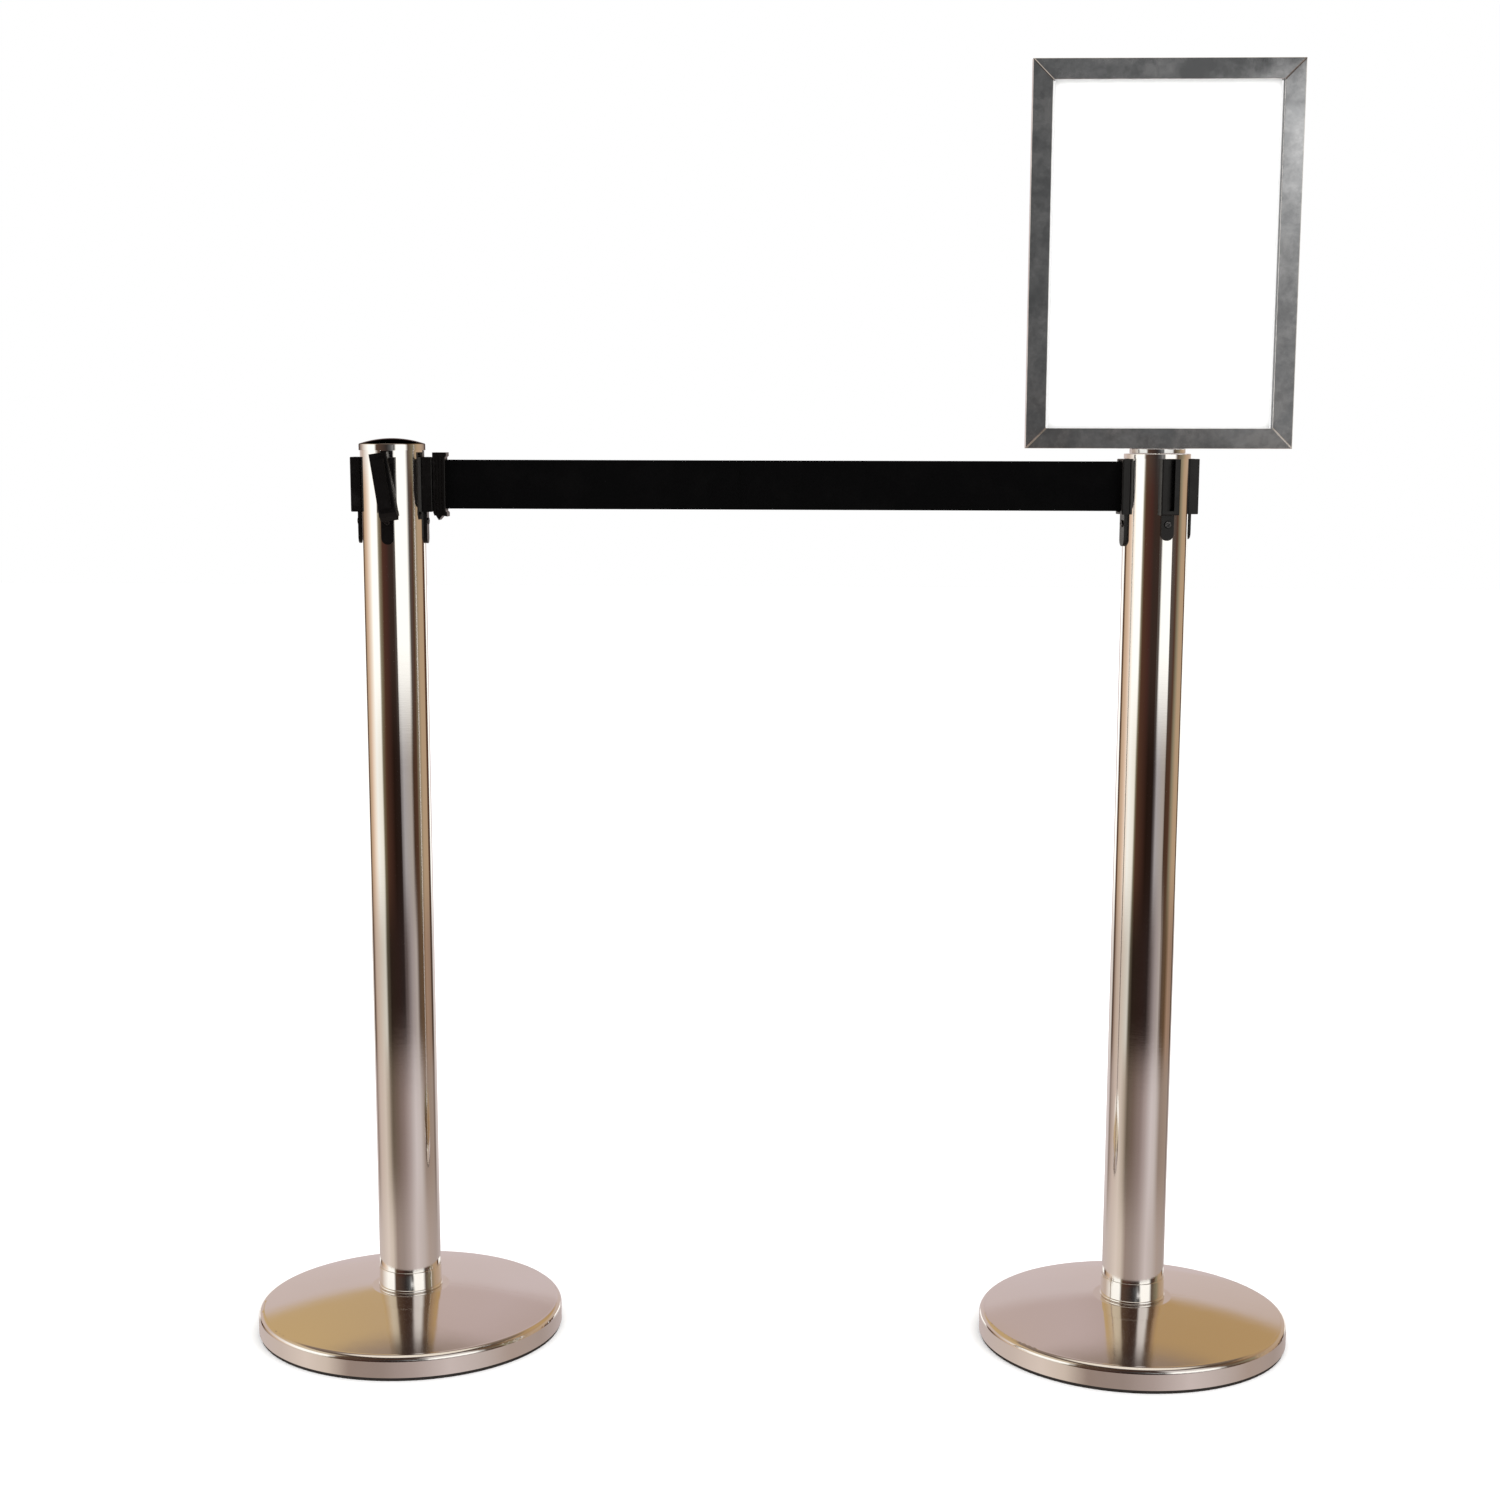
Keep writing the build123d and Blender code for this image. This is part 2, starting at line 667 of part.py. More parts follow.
def belt_course(post, belt_out, target):
    """Where the belt leaves its roll, bends round the guide pin and heads for the target.

    Returns the pin's centre, the bend's radius at mid-thickness and the two directions.
    """
    outlet = level(post, 0, post["outlet"])
    centre = outlet.origin
    pin = outlet.from_local_coords(Vector(GUIDE_PIN_REACH, GUIDE_PIN_OFFSET, 0))
    roll = roll_radius(belt_out) + GAP + BELT_THICKNESS / 2
    bend = GUIDE_PIN_RADIUS + 0.15 + BELT_THICKNESS / 2
    to_pin = pin - centre
    to_target = target - pin
    inward = math.atan2(to_pin.Y, to_pin.X) - math.asin((roll + bend) / to_pin.length)
    onward = math.atan2(to_target.Y, to_target.X) + math.asin(bend / to_target.length)
    start = centre + unit(inward + math.pi / 2) * roll
    return start, pin, bend, inward, onward


def belt_strip(course, end_point):
    """Plan section of the belt from its roll round the guide pin to an end point."""
    start, pin, bend, inward, onward = course
    half = BELT_THICKNESS / 2
    across_in = unit(inward + math.pi / 2)
    across_on = unit(onward + math.pi / 2)
    sweep = math.degrees((onward - inward + math.pi) % (2 * math.pi) - math.pi)
    first = math.degrees(inward) - 90
    with BuildSketch(Plane.XY.offset(BELT_BOTTOM)) as strip:
        with BuildLine():
            Line(start + across_in * half, pin - across_in * (bend - half))
            CenterArc(pin, bend - half, first, sweep)
            Line(pin - across_on * (bend - half), end_point + across_on * half)
            Line(end_point + across_on * half, end_point - across_on * half)
            Line(end_point - across_on * half, pin - across_on * (bend + half))
            CenterArc(pin, bend + half, first + sweep, -sweep)
            Line(pin - across_in * (bend + half), start - across_in * half)
            Line(start - across_in * half, start + across_in * half)
        make_face()
    return strip.sketch


def sewn_loop(plane):
    """Loop of belt sewn round the clip's pin, upright on a plane at the pin's foot."""
    inner = CLIP_PIN_RADIUS + 0.15
    with BuildSketch(plane) as loop:
        Circle(inner + BELT_THICKNESS)
        Circle(inner, mode=Mode.SUBTRACT)
    return loop.sketch


def clip_pin_plane(dock):
    """Plane across a clip's pin, at the height of the lower edge of the belt."""
    foot = dock.from_local_coords(Vector(-CLIP_PIN_DEPTH, 0, BELT_BOTTOM - CLIP_MIDDLE))
    return Plane(origin=foot, x_dir=dock.x_dir, z_dir=dock.z_dir)


def right_belt():
    """Belt stretched from the right post to the clip docked on the left post."""
    end_plane = clip_pin_plane(HOOKED_DOCK)
    target = Vector(end_plane.origin.X, end_plane.origin.Y, 0)
    course = belt_course(RIGHT, RIGHT_BELT_OUT, target)
    loop_reach = CLIP_PIN_RADIUS + 0.15 + BELT_THICKNESS / 2
    strip = belt_strip(course, target - unit(course[4]) * loop_reach)
    loop = sewn_loop(end_plane)
    with BuildPart() as belt:
        extrude(strip, amount=BELT_WIDTH)
        extrude(loop, amount=BELT_WIDTH)
    save(belt, "right_belt")


def left_belt():
    """End of the drawn-in belt, twisting from the outlet to the tilt of the parked clip."""
    end_plane = clip_pin_plane(PARKED_DOCK)
    pin_foot = end_plane.origin
    pin_middle = pin_foot + end_plane.z_dir * (BELT_WIDTH / 2)
    target = Vector(pin_middle.X, pin_middle.Y, 0)
    course = belt_course(LEFT, LEFT_BELT_OUT, target)
    onward = unit(course[4])
    loop_reach = CLIP_PIN_RADIUS + 0.15 + BELT_THICKNESS / 2
    twist_start = target + onward * ((-OUTLET_FACE - 0.3 - target.Y) / onward.Y)
    twist_end = pin_middle - onward * loop_reach
    strip = belt_strip(course, twist_start)
    loop = sewn_loop(end_plane)
    upright = Plane(
        origin=twist_start + Vector(0, 0, BELT_MIDDLE), x_dir=(0, 0, 1), z_dir=onward
    )
    tilted = Plane(origin=twist_end, x_dir=end_plane.z_dir, z_dir=onward)
    with BuildPart() as belt:
        extrude(strip, amount=BELT_WIDTH)
        with BuildSketch(upright):
            Rectangle(BELT_WIDTH, BELT_THICKNESS)
        with BuildSketch(tilted):
            Rectangle(BELT_WIDTH, BELT_THICKNESS)
        loft(ruled=True)
        extrude(loop, amount=BELT_WIDTH)
    save(belt, "left_belt")


def belt_clip(dock, name):
    """Clip with a pointed foot, grip grooves down its sides and a T tongue in front."""
    profile_plane = Plane(origin=dock.origin, x_dir=dock.x_dir, z_dir=dock.x_dir.cross(dock.z_dir))
    slot_bottom = BELT_BOTTOM - CLIP_MIDDLE - 1
    slot_height = BELT_WIDTH + 2
    reach = BLOCK_FACE - CAVITY_BACK
    head = CAVITY_FACE - CAVITY_BACK - 2 * GAP
    slot_front = BELT_SLOT_FRONT - CLIP_PIN_DEPTH
    slot_waist = -CLIP_PIN_DEPTH - CLIP_PIN_RADIUS - 0.5
    with BuildPart() as clip:
        with BuildSketch(profile_plane):
            Polygon(
                (0, CLIP_TOP),
                (0, CLIP_FOOT + 3.5),
                (-CLIP_CHAMFER, CLIP_FOOT),
                (CLIP_TIP_DEPTH + 3, CLIP_FOOT),
                (CLIP_TIP_DEPTH, CLIP_TIP),
                (CLIP_TIP_DEPTH - 3.8, CLIP_FOOT),
                (-CLIP_FLANGE, CLIP_FOOT - 1),
                (-CLIP_FLANGE, CLIP_FOOT + 3),
                (-CLIP_DEPTH, CLIP_FOOT + 4),
                (-CLIP_DEPTH, -CLIP_FOOT),
                (-CLIP_FLANGE, 1 - CLIP_FOOT),
                (-CLIP_FLANGE, CLIP_TOP),
                align=None,
            )
        extrude(amount=CLIP_HALF_WIDTH, both=True)
        upright = clip.edges().filter_by(Axis((0, 0, 0), dock.z_dir))
        fillet(upright, 1.0)
        # Grip grooves down both sides
        with BuildSketch(dock.offset(CLIP_TIP - 1)):
            for across in (-CLIP_HALF_WIDTH, CLIP_HALF_WIDTH):
                with Locations([(depth, across) for depth in GRIP_GROOVES]):
                    Rectangle(1.2, 1.6)
        extrude(amount=CLIP_TOP - CLIP_TIP - 3, mode=Mode.SUBTRACT)
        # Tapered slot for the belt, wider at the back
        with BuildSketch(dock.offset(slot_bottom)):
            Polygon(
                (slot_front, BELT_SLOT_HALF),
                (slot_front, -BELT_SLOT_HALF),
                (slot_waist, -BELT_SLOT_HALF),
                (-CLIP_FLANGE - 1, -BELT_SLOT_MOUTH_HALF),
                (-CLIP_FLANGE - 1, BELT_SLOT_MOUTH_HALF),
                (slot_waist, BELT_SLOT_HALF),
                align=None,
            )
        extrude(amount=slot_height, mode=Mode.SUBTRACT)
        # Blind hole for the pin, from the top
        with BuildSketch(dock.offset(slot_bottom - 2)):
            with Locations((-CLIP_PIN_DEPTH, 0)):
                Circle(CLIP_PIN_RADIUS + RUNNING)
        extrude(amount=CLIP_TOP - slot_bottom + 3, mode=Mode.SUBTRACT)
        # Tongue: neck through the mouth of the slot, head in its cavity
        with BuildSketch(dock.offset(TONGUE_BOTTOM)):
            with Locations(((reach - 1) / 2, 0)):
                Rectangle(reach + 1, MOUTH_WIDTH - 2 * GAP)
            with Locations((reach - head / 2, 0)):
                Rectangle(head, CAVITY_WIDTH - 2 * GAP)
        extrude(amount=TONGUE_TOP - TONGUE_BOTTOM)
    save(clip, name)


def clip_pin(dock, name):
    """Steel pin that holds the sewn end of the belt in its clip."""
    bottom = BELT_BOTTOM - CLIP_MIDDLE - 3
    with BuildPart() as pin:
        with BuildSketch(dock.offset(bottom + 0.1)):
            with Locations((-CLIP_PIN_DEPTH, 0)):
                Circle(CLIP_PIN_RADIUS)
        extrude(amount=CLIP_TOP - bottom - 1)
    save(pin, name)


# Sign frame


def sign_plane():
    """Upright plane of the sign: x across and y up from the underside of its lower rail."""
    return Plane(origin=(RIGHT["x"], 0, SIGN_BOTTOM), x_dir=(1, 0, 0), z_dir=(0, -1, 0))


def frame_corners(inset):
    """Corners of the frame's rectangle drawn in by an inset, from the lower left."""
    half = SIGN_WIDTH / 2 - inset
    return [
        (-half, inset),
        (half, inset),
        (half, SIGN_HEIGHT - inset),
        (-half, SIGN_HEIGHT - inset),
    ]


def sign_screw_points():
    """Two points at each corner of the frame, one over each leg of its corner key."""
    half = SIGN_WIDTH / 2 - RAIL_WALL - KEY_WIDTH / 2
    low = RAIL_WALL + KEY_WIDTH / 2
    points = []
    for across in (-1, 1):
        for height, inward in ((low, 1), (SIGN_HEIGHT - low, -1)):
            points.append((across * half, height + inward * 18))
            points.append((across * (half - 8), height))
    return points


def mitre_grooves(*corners):
    """V sections of the fine grooves along a rail's mitres, on its front and back faces."""
    half_width, depth = MITRE_GROOVE
    grooves = []
    for corner in corners:
        start = Vector(*frame_corners(-1)[corner])
        inward = (Vector(*frame_corners(RAIL_WIDTH)[corner]) - start).normalized()
        for front in (1, -1):
            face = sign_plane().offset(front * SIGN_DEPTH / 2)
            origin = face.from_local_coords(start)
            along = face.from_local_coords(start + inward) - origin
            section = Plane(origin=origin, x_dir=along.cross(face.z_dir), z_dir=along)
            tip = depth if section.y_dir.dot(face.z_dir * front) < 0 else -depth
            with BuildSketch(section) as groove:
                Polygon((-half_width, 0), (half_width, 0), (0, tip), align=None)
            grooves.append(groove.sketch)
    return grooves


def sign_rail(index, name):
    """Mitred channel with its open side towards the middle of the frame."""
    outer = frame_corners(0)
    inner = frame_corners(RAIL_WIDTH)
    wall = frame_corners(RAIL_WALL)
    mouth = frame_corners(RAIL_WIDTH + 1)
    after = (index + 1) % 4
    plane = sign_plane()
    with BuildPart() as rail:
        with BuildSketch(plane):
            Polygon(outer[index], outer[after], inner[after], inner[index], align=None)
        extrude(amount=SIGN_DEPTH / 2, both=True)
        long_edges = rail.edges().filter_by(Axis.X if index % 2 == 0 else Axis.Z)
        fillet(long_edges, 0.5)
        with BuildSketch(plane):
            Polygon(wall[index], wall[after], mouth[after], mouth[index], align=None)
        extrude(amount=SIGN_DEPTH / 2 - RAIL_WALL, both=True, mode=Mode.SUBTRACT)
        with BuildSketch(plane):
            with Locations(sign_screw_points()):
                Circle(SIGN_SCREW_RADIUS + RUNNING)
        extrude(amount=-SIGN_DEPTH, mode=Mode.SUBTRACT)
        for groove in mitre_grooves(index, after):
            extrude(groove, amount=RAIL_WIDTH * 2, mode=Mode.SUBTRACT)
        if name == "top":
            with BuildSketch(Plane.XY.offset(SIGN_BOTTOM + SIGN_HEIGHT + 1)):
                with Locations((RIGHT["x"], 0)):
                    Rectangle(*INSERT_SLOT)
            extrude(amount=-RAIL_WALL - 2, mode=Mode.SUBTRACT)
    save(rail, f"sign_rail_{name}")


def sign_window(front, name):
    """Clear sheet held in the channel, on the front or back side of the insert."""
    inset = RAIL_WIDTH - WINDOW_OVERLAP
    face = SIGN_DEPTH / 2 - RAIL_WALL - SNUG
    with BuildPart() as window:
        with BuildSketch(sign_plane().offset(face * front)):
            Polygon(*frame_corners(inset), align=None)
        extrude(amount=-WINDOW_THICKNESS * front)
    save(window, f"sign_window_{name}")


def sign_insert():
    """Blank card between the windows, standing on the lower rail."""
    with BuildPart() as card:
        with BuildSketch(sign_plane()):
            with Locations((0, RAIL_WALL + SNUG + INSERT_HEIGHT / 2)):
                Rectangle(INSERT_WIDTH, INSERT_HEIGHT)
        extrude(amount=INSERT_THICKNESS / 2, both=True)
    save(card, "sign_insert")


def sign_corner_keys():
    """Four angle pieces inside the channel that join the rails."""
    inset = RAIL_WALL + SNUG
    half = SIGN_WIDTH / 2 - inset
    with BuildPart() as keys:
        for across in (-1, 1):
            for bottom, up in ((inset, 1), (SIGN_HEIGHT - inset, -1)):
                with BuildSketch(sign_plane()):
                    Polygon(
                        (across * half, bottom),
                        (across * (half - KEY_LEGS[0]), bottom),
                        (across * (half - KEY_LEGS[0]), bottom + up * KEY_WIDTH),
                        (across * (half - KEY_WIDTH), bottom + up * KEY_WIDTH),
                        (across * (half - KEY_WIDTH), bottom + up * KEY_LEGS[1]),
                        (across * half, bottom + up * KEY_LEGS[1]),
                        align=None,
                    )
                extrude(amount=SIGN_DEPTH / 2 - RAIL_WALL - SNUG, both=True)
        with BuildSketch(sign_plane()):
            with Locations(sign_screw_points()):
                Circle(SIGN_SCREW_RADIUS + RUNNING)
        extrude(amount=-SIGN_DEPTH, mode=Mode.SUBTRACT)
    save(keys, "sign_corner_keys")


def sign_screws():
    """Small screws through the back of the rails into the corner keys."""
    back = sign_plane().offset(-SIGN_DEPTH / 2)
    with BuildPart() as screws:
        with BuildSketch(back):
            with Locations(sign_screw_points()):
                Circle(SIGN_SCREW_RADIUS * 2)
        extrude(amount=-SIGN_SCREW_RADIUS, taper=18)
        with BuildSketch(back):
            with Locations(sign_screw_points()):
                Circle(SIGN_SCREW_RADIUS)
        extrude(amount=3.0)
    save(screws, "sign_screws")


def sign_flange():
    """Thick disc under the lower rail, bored for the stud of the post's cap."""
    with BuildPart() as flange:
        with BuildSketch(level(RIGHT, SIGN_BOTTOM - SNUG - SIGN_FLANGE_HEIGHT)):
            Circle(SIGN_FLANGE_RADIUS)
        extrude(amount=SIGN_FLANGE_HEIGHT)
        fillet(flange.edges(), 0.6)
        with Locations(level(RIGHT, SIGN_BOTTOM)):
            Hole(STUD_RADIUS + RUNNING)
    save(flange, "sign_flange")


# Docking planes of the two clips: x towards the tongue, z up the clip
SIGN_BOTTOM = RIGHT["top"] + SNUG + FLAT_CAP_PLATE + GAP + SIGN_FLANGE_HEIGHT + SNUG
HOOKED_DOCK = Plane(
    origin=(LEFT["x"] + BLOCK_FACE + GAP, 0, CLIP_MIDDLE), x_dir=(-1, 0, 0), z_dir=(0, 0, 1)
)
TILT = math.radians(PARKED_TILT)
PARKED_DOCK = Plane(
    origin=(LEFT["x"], -(OUTLET_FACE + GAP + CLIP_FLANGE), CLIP_MIDDLE),
    x_dir=(0, -1, 0),
    z_dir=(-math.sin(TILT), 0, math.cos(TILT)),
)
LEFT_BELT_OUT = 35.0
RIGHT_BELT_OUT = POST_SPACING - BLOCK_FACE - CLIP_PIN_DEPTH

for post, belt_out in ((LEFT, LEFT_BELT_OUT), (RIGHT, RIGHT_BELT_OUT)):
    base_weight(post)
    base_cover(post)
    base_ring(post)
    anchor_bolt(post)
    anchor_washer(post)
    tube_plug(post)
    foot_collar(post)
    tube(post)
    cassette_body(post)
    cassette_lid(post)
    spring_cover(post)
    power_spring(post)
    spool_shaft(post)
    spool(post)
    belt_roll(post, belt_out)
    belt_outlet(post)
    guide_pins(post)
    for receiver_name, receiver_heading in post["receivers"].items():
        receiver(post, receiver_name, receiver_heading)
    tail_screws(post)

domed_cap(LEFT)
flat_cap(RIGHT)
left_belt()
right_belt()
belt_clip(PARKED_DOCK, "left_belt_clip")
belt_clip(HOOKED_DOCK, "right_belt_clip")
clip_pin(PARKED_DOCK, "left_clip_pin")
clip_pin(HOOKED_DOCK, "right_clip_pin")

for rail_index, rail_name in enumerate(("bottom", "right", "top", "left")):
    sign_rail(rail_index, rail_name)
sign_window(1, "front")
sign_window(-1, "back")
sign_insert()
sign_corner_keys()
sign_screws()
sign_flange()
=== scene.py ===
import json
import math

import bmesh
import bpy
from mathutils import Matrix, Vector


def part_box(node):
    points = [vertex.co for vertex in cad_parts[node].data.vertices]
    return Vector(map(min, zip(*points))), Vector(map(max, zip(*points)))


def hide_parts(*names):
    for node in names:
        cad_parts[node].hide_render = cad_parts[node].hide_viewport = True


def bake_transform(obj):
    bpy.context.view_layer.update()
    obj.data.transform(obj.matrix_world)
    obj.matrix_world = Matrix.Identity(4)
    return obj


# Looks of two belt stanchions: materials, drawn belts, studio light and camera. In metres.

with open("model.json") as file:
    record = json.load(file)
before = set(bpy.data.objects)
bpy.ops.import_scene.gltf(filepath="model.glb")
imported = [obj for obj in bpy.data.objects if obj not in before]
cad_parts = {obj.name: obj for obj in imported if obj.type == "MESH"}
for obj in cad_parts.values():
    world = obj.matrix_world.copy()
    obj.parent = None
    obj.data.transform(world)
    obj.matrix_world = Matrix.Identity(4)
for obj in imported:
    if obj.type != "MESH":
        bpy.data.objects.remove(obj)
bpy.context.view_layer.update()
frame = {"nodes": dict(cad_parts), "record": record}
scene = bpy.context.scene

# Webbing: its selvedges are a little thicker, and start this far from its edges
BELT_WIDTH = 0.048
BELT_THICKNESS = 0.0008
SELVEDGE_THICKNESS = 0.00105
SELVEDGE_ROUND = 0.00035
SELVEDGE_START = 0.0009
SELVEDGE_END = 0.0017
SELVEDGE_STEP = 0.0024
WARP_PITCH = 0.0016
WEFT_PITCH = 0.0022

# Way of a belt off its roll and round the pin in the outlet
ROLL_GAP = 0.0003
PIN_GAP = 0.00015
GUIDE_PIN_RADIUS = 0.0015
GUIDE_PIN_REACH = 0.0308
GUIDE_PIN_OFFSET = 0.0023
RIGHT_OUTLET_HEADING = 193.0
LEFT_OUTLET_HEADING = 270.0

# End of a belt, looped round the clip's pin and sewn to itself
CLIP_PIN_RADIUS = 0.0015
LOOP_APPROACH = 0.007
SEWN_LAP = 0.012
SEWN_LAP_OFFSET = BELT_THICKNESS * 1.1
LAP_CLOSING = 1.7
PARKED_TILT = math.radians(8.5)

# Where the two pieces of the stretched belt meet, this far back from the start of the clip's
# loop
SEAM_TO_CLIP = 0.29

# Spacing of the points along a belt, and the steps round its bends
FREE_STEP = 0.004
GUIDED_STEP = 0.003
TWISTED_STEP = 0.00025
GUIDE_STEPS = 6
APPROACH_STEPS = 8
LOOP_STEPS = 12

# Inputs and output of a colour mix node, which share their names with other kinds of mix
MIX_FIRST = 6
MIX_SECOND = 7
MIX_RESULT = 2

WHITE = (1.0, 1.0, 1.0, 1.0)


# Small helpers

def centre_of(node):
    low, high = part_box(node)
    return (low + high) / 2


def shade(red, green, blue):
    """Linear colour from display values of 0 to 255."""
    def linear(value):
        value /= 255
        return value / 12.92 if value <= 0.04045 else ((value + 0.055) / 1.055) ** 2.4
    return (linear(red), linear(green), linear(blue), 1.0)


def grey(value):
    return shade(value, value, value)


def eased(share):
    """Share from 0 to 1 that starts and ends gently."""
    return share * share * (3 - 2 * share)


def add_object(name, data):
    piece = bpy.data.objects.new(name, data)
    scene.collection.objects.link(piece)
    return piece


class NodeTree:
    """A node tree, with one call for each kind of node that materials and room both use."""

    def __init__(self, owner):
        owner.use_nodes = True
        self.tree = owner.node_tree

    def node(self, kind, **settings):
        made = self.tree.nodes.new(kind)
        for key, value in settings.items():
            setattr(made, key, value)
        return made

    def link(self, source, target):
        self.tree.links.new(source, target)

    def feed(self, socket, value):
        """Put a constant on a socket, or link another socket to it."""
        if isinstance(value, (int, float, tuple)):
            socket.default_value = value
        else:
            self.link(value, socket)

    def between(self, source, low, high, low_value=0.0, high_value=1.0, **settings):
        """A value that goes from one number to another as the source rises."""
        made = self.node("ShaderNodeMapRange", **settings)
        made.inputs["From Min"].default_value = low
        made.inputs["From Max"].default_value = high
        made.inputs["To Min"].default_value = low_value
        made.inputs["To Max"].default_value = high_value
        self.link(source, made.inputs["Value"])
        return made.outputs["Result"]

    def math(self, operation, *values):
        made = self.node("ShaderNodeMath", operation=operation)
        for socket, value in zip(made.inputs, values):
            self.feed(socket, value)
        return made.outputs["Value"]

    def blend(self, factor, first, second):
        """A colour between two, each a colour or a socket."""
        made = self.node("ShaderNodeMix", data_type="RGBA")
        self.link(factor, made.inputs["Factor"])
        self.feed(made.inputs[MIX_FIRST], first)
        self.feed(made.inputs[MIX_SECOND], second)
        return made.outputs[MIX_RESULT]


class Shader(NodeTree):
    """A material: procedural nodes that drive one principled shader."""

    def __init__(self, name):
        self.material = bpy.data.materials.new(name)
        super().__init__(self.material)
        self.principled = self.tree.nodes["Principled BSDF"]
        self.place = self.node("ShaderNodeTexCoord").outputs["Object"]

    def set(self, **values):
        """Constant values of the shader's sockets, named with underscores."""
        for key, value in values.items():
            self.principled.inputs[key.replace("_", " ")].default_value = value

    def drive(self, source, name):
        self.link(source, self.principled.inputs[name])

    def stretched(self, scale):
        mapping = self.node("ShaderNodeMapping")
        mapping.inputs["Scale"].default_value = scale
        self.link(self.place, mapping.inputs["Vector"])
        return mapping.outputs["Vector"]

    def noise(self, scale, detail=4.0, rough=0.55, stretch=None):
        made = self.node("ShaderNodeTexNoise")
        made.inputs["Scale"].default_value = scale
        made.inputs["Detail"].default_value = detail
        made.inputs["Roughness"].default_value = rough
        self.link(self.stretched(stretch) if stretch else self.place, made.inputs["Vector"])
        return made.outputs["Fac"]

    def cells(self, scale, feature="F1"):
        made = self.node("ShaderNodeTexVoronoi", feature=feature)
        made.inputs["Scale"].default_value = scale
        self.link(self.place, made.inputs["Vector"])
        return made.outputs["Distance"]

    def bump(self, height, distance, strength=1.0, under=None):
        made = self.node("ShaderNodeBump")
        made.inputs["Distance"].default_value = distance
        made.inputs["Strength"].default_value = strength
        self.link(height, made.inputs["Height"])
        if under is not None:
            self.link(under, made.inputs["Normal"])
        self.link(made.outputs["Normal"], self.principled.inputs["Normal"])
        return made.outputs["Normal"]


# Materials

def polished_steel(name="polished_steel"):
    """Mirror-polished stainless tube: faint hand marks, a slow ripple and fine turned lines."""
    steel = Shader(name)
    steel.set(Metallic=1.0)
    marks = steel.noise(9.0, 6.0, 0.62)
    steel.drive(steel.between(marks, 0.42, 0.75, 0.03, 0.085), "Roughness")
    tint = steel.noise(5.0, 2.0)
    steel.tone = steel.blend(tint, shade(248, 247, 246), shade(240, 238, 235))
    steel.drive(steel.tone, "Base Color")
    ripple = steel.bump(steel.noise(7.0, 2.0, 0.4, (1.0, 1.0, 0.45)), 0.0004)
    steel.bump(steel.noise(1.0, 2.0, 0.5, (60.0, 60.0, 2600.0)), 0.0000035, under=ripple)
    return steel


def domed_steel():
    """Cap of the left post: the same polish, with a painted dark reflection on the dome where it
    faces up, and a dark specular tint that adds painted shade to its grazing reflections.
    """
    steel = polished_steel("domed_steel")
    split = steel.node("ShaderNodeSeparateXYZ")
    steel.link(steel.node("ShaderNodeNewGeometry").outputs["Normal"], split.inputs["Vector"])
    # Share of the surface that faces up, which takes the painted dark reflection
    painted_reflection_mask = steel.between(split.outputs["Z"], 0.35, 0.8)
    patches = steel.noise(70.0, 4.0)
    # Dark browns of the painted reflection on the dome, mottled by noise
    mottling = steel.blend(patches, shade(52, 38, 32), shade(76, 57, 47))
    steel.drive(steel.blend(painted_reflection_mask, steel.tone, mottling), "Base Color")
    # Constant dark specular tint: painted shade that dims the cap's reflections at grazing
    # angles
    steel.set(Specular_Tint=shade(70, 52, 44))
    return steel.material


def spun_steel():
    """Base cover: spun over a former, so it is a little softer than the tube."""
    steel = Shader("spun_steel")
    steel.set(Metallic=1.0)
    marks = steel.noise(16.0, 7.0, 0.66)
    steel.drive(steel.between(marks, 0.35, 0.75, 0.07, 0.15), "Roughness")
    tint = steel.noise(6.0, 2.0)
    steel.drive(steel.blend(tint, shade(246, 244, 243), shade(238, 234, 230)), "Base Color")
    steel.bump(steel.noise(11.0, 3.0, 0.45), 0.0003)
    return steel.material


def sign_steel():
    """Frame of the sign: cloudy polish with soft stains and a few scuffs."""
    steel = Shader("sign_steel")
    steel.set(Metallic=1.0)
    clouds = steel.noise(24.0, 3.0, 0.5)
    scuffs = steel.noise(95.0, 4.0, 0.6)
    steel.drive(steel.between(clouds, 0.35, 0.7, 0.05, 0.15), "Roughness")
    stains = steel.math("MULTIPLY", clouds, scuffs)
    tone = steel.between(stains, 0.16, 0.36)
    steel.drive(steel.blend(tone, shade(208, 209, 210), shade(250, 250, 250)), "Base Color")
    soft = steel.bump(steel.noise(9.0, 2.0), 0.0004)
    steel.bump(clouds, 0.00002, under=soft)
    return steel.material


def black_plastic():
    """Satin moulded plastic with a fine spark grain and paler rubbed patches."""
    plastic = Shader("black_plastic")
    rubbed = plastic.noise(55.0, 6.0, 0.65)
    worn = plastic.between(rubbed, 0.55, 0.78)
    plastic.drive(plastic.blend(worn, shade(9, 8, 8), shade(22, 20, 20)), "Base Color")
    plastic.drive(plastic.between(rubbed, 0.3, 0.75, 0.24, 0.4), "Roughness")
    plastic.set(Specular_IOR_Level=0.3)
    grain = plastic.noise(2600.0, 3.0, 0.6)
    plastic.bump(grain, 0.00003, 0.5)
    return plastic.material


def grey_plastic():
    """Moulded inner parts of the cassette."""
    plastic = Shader("grey_plastic")
    flow = plastic.noise(40.0, 5.0, 0.6)
    plastic.drive(plastic.blend(flow, shade(150, 150, 152), shade(166, 166, 167)), "Base Color")
    plastic.drive(plastic.between(flow, 0.3, 0.7, 0.38, 0.52), "Roughness")
    plastic.bump(plastic.noise(1900.0, 2.0), 0.00003, 0.5)
    return plastic.material


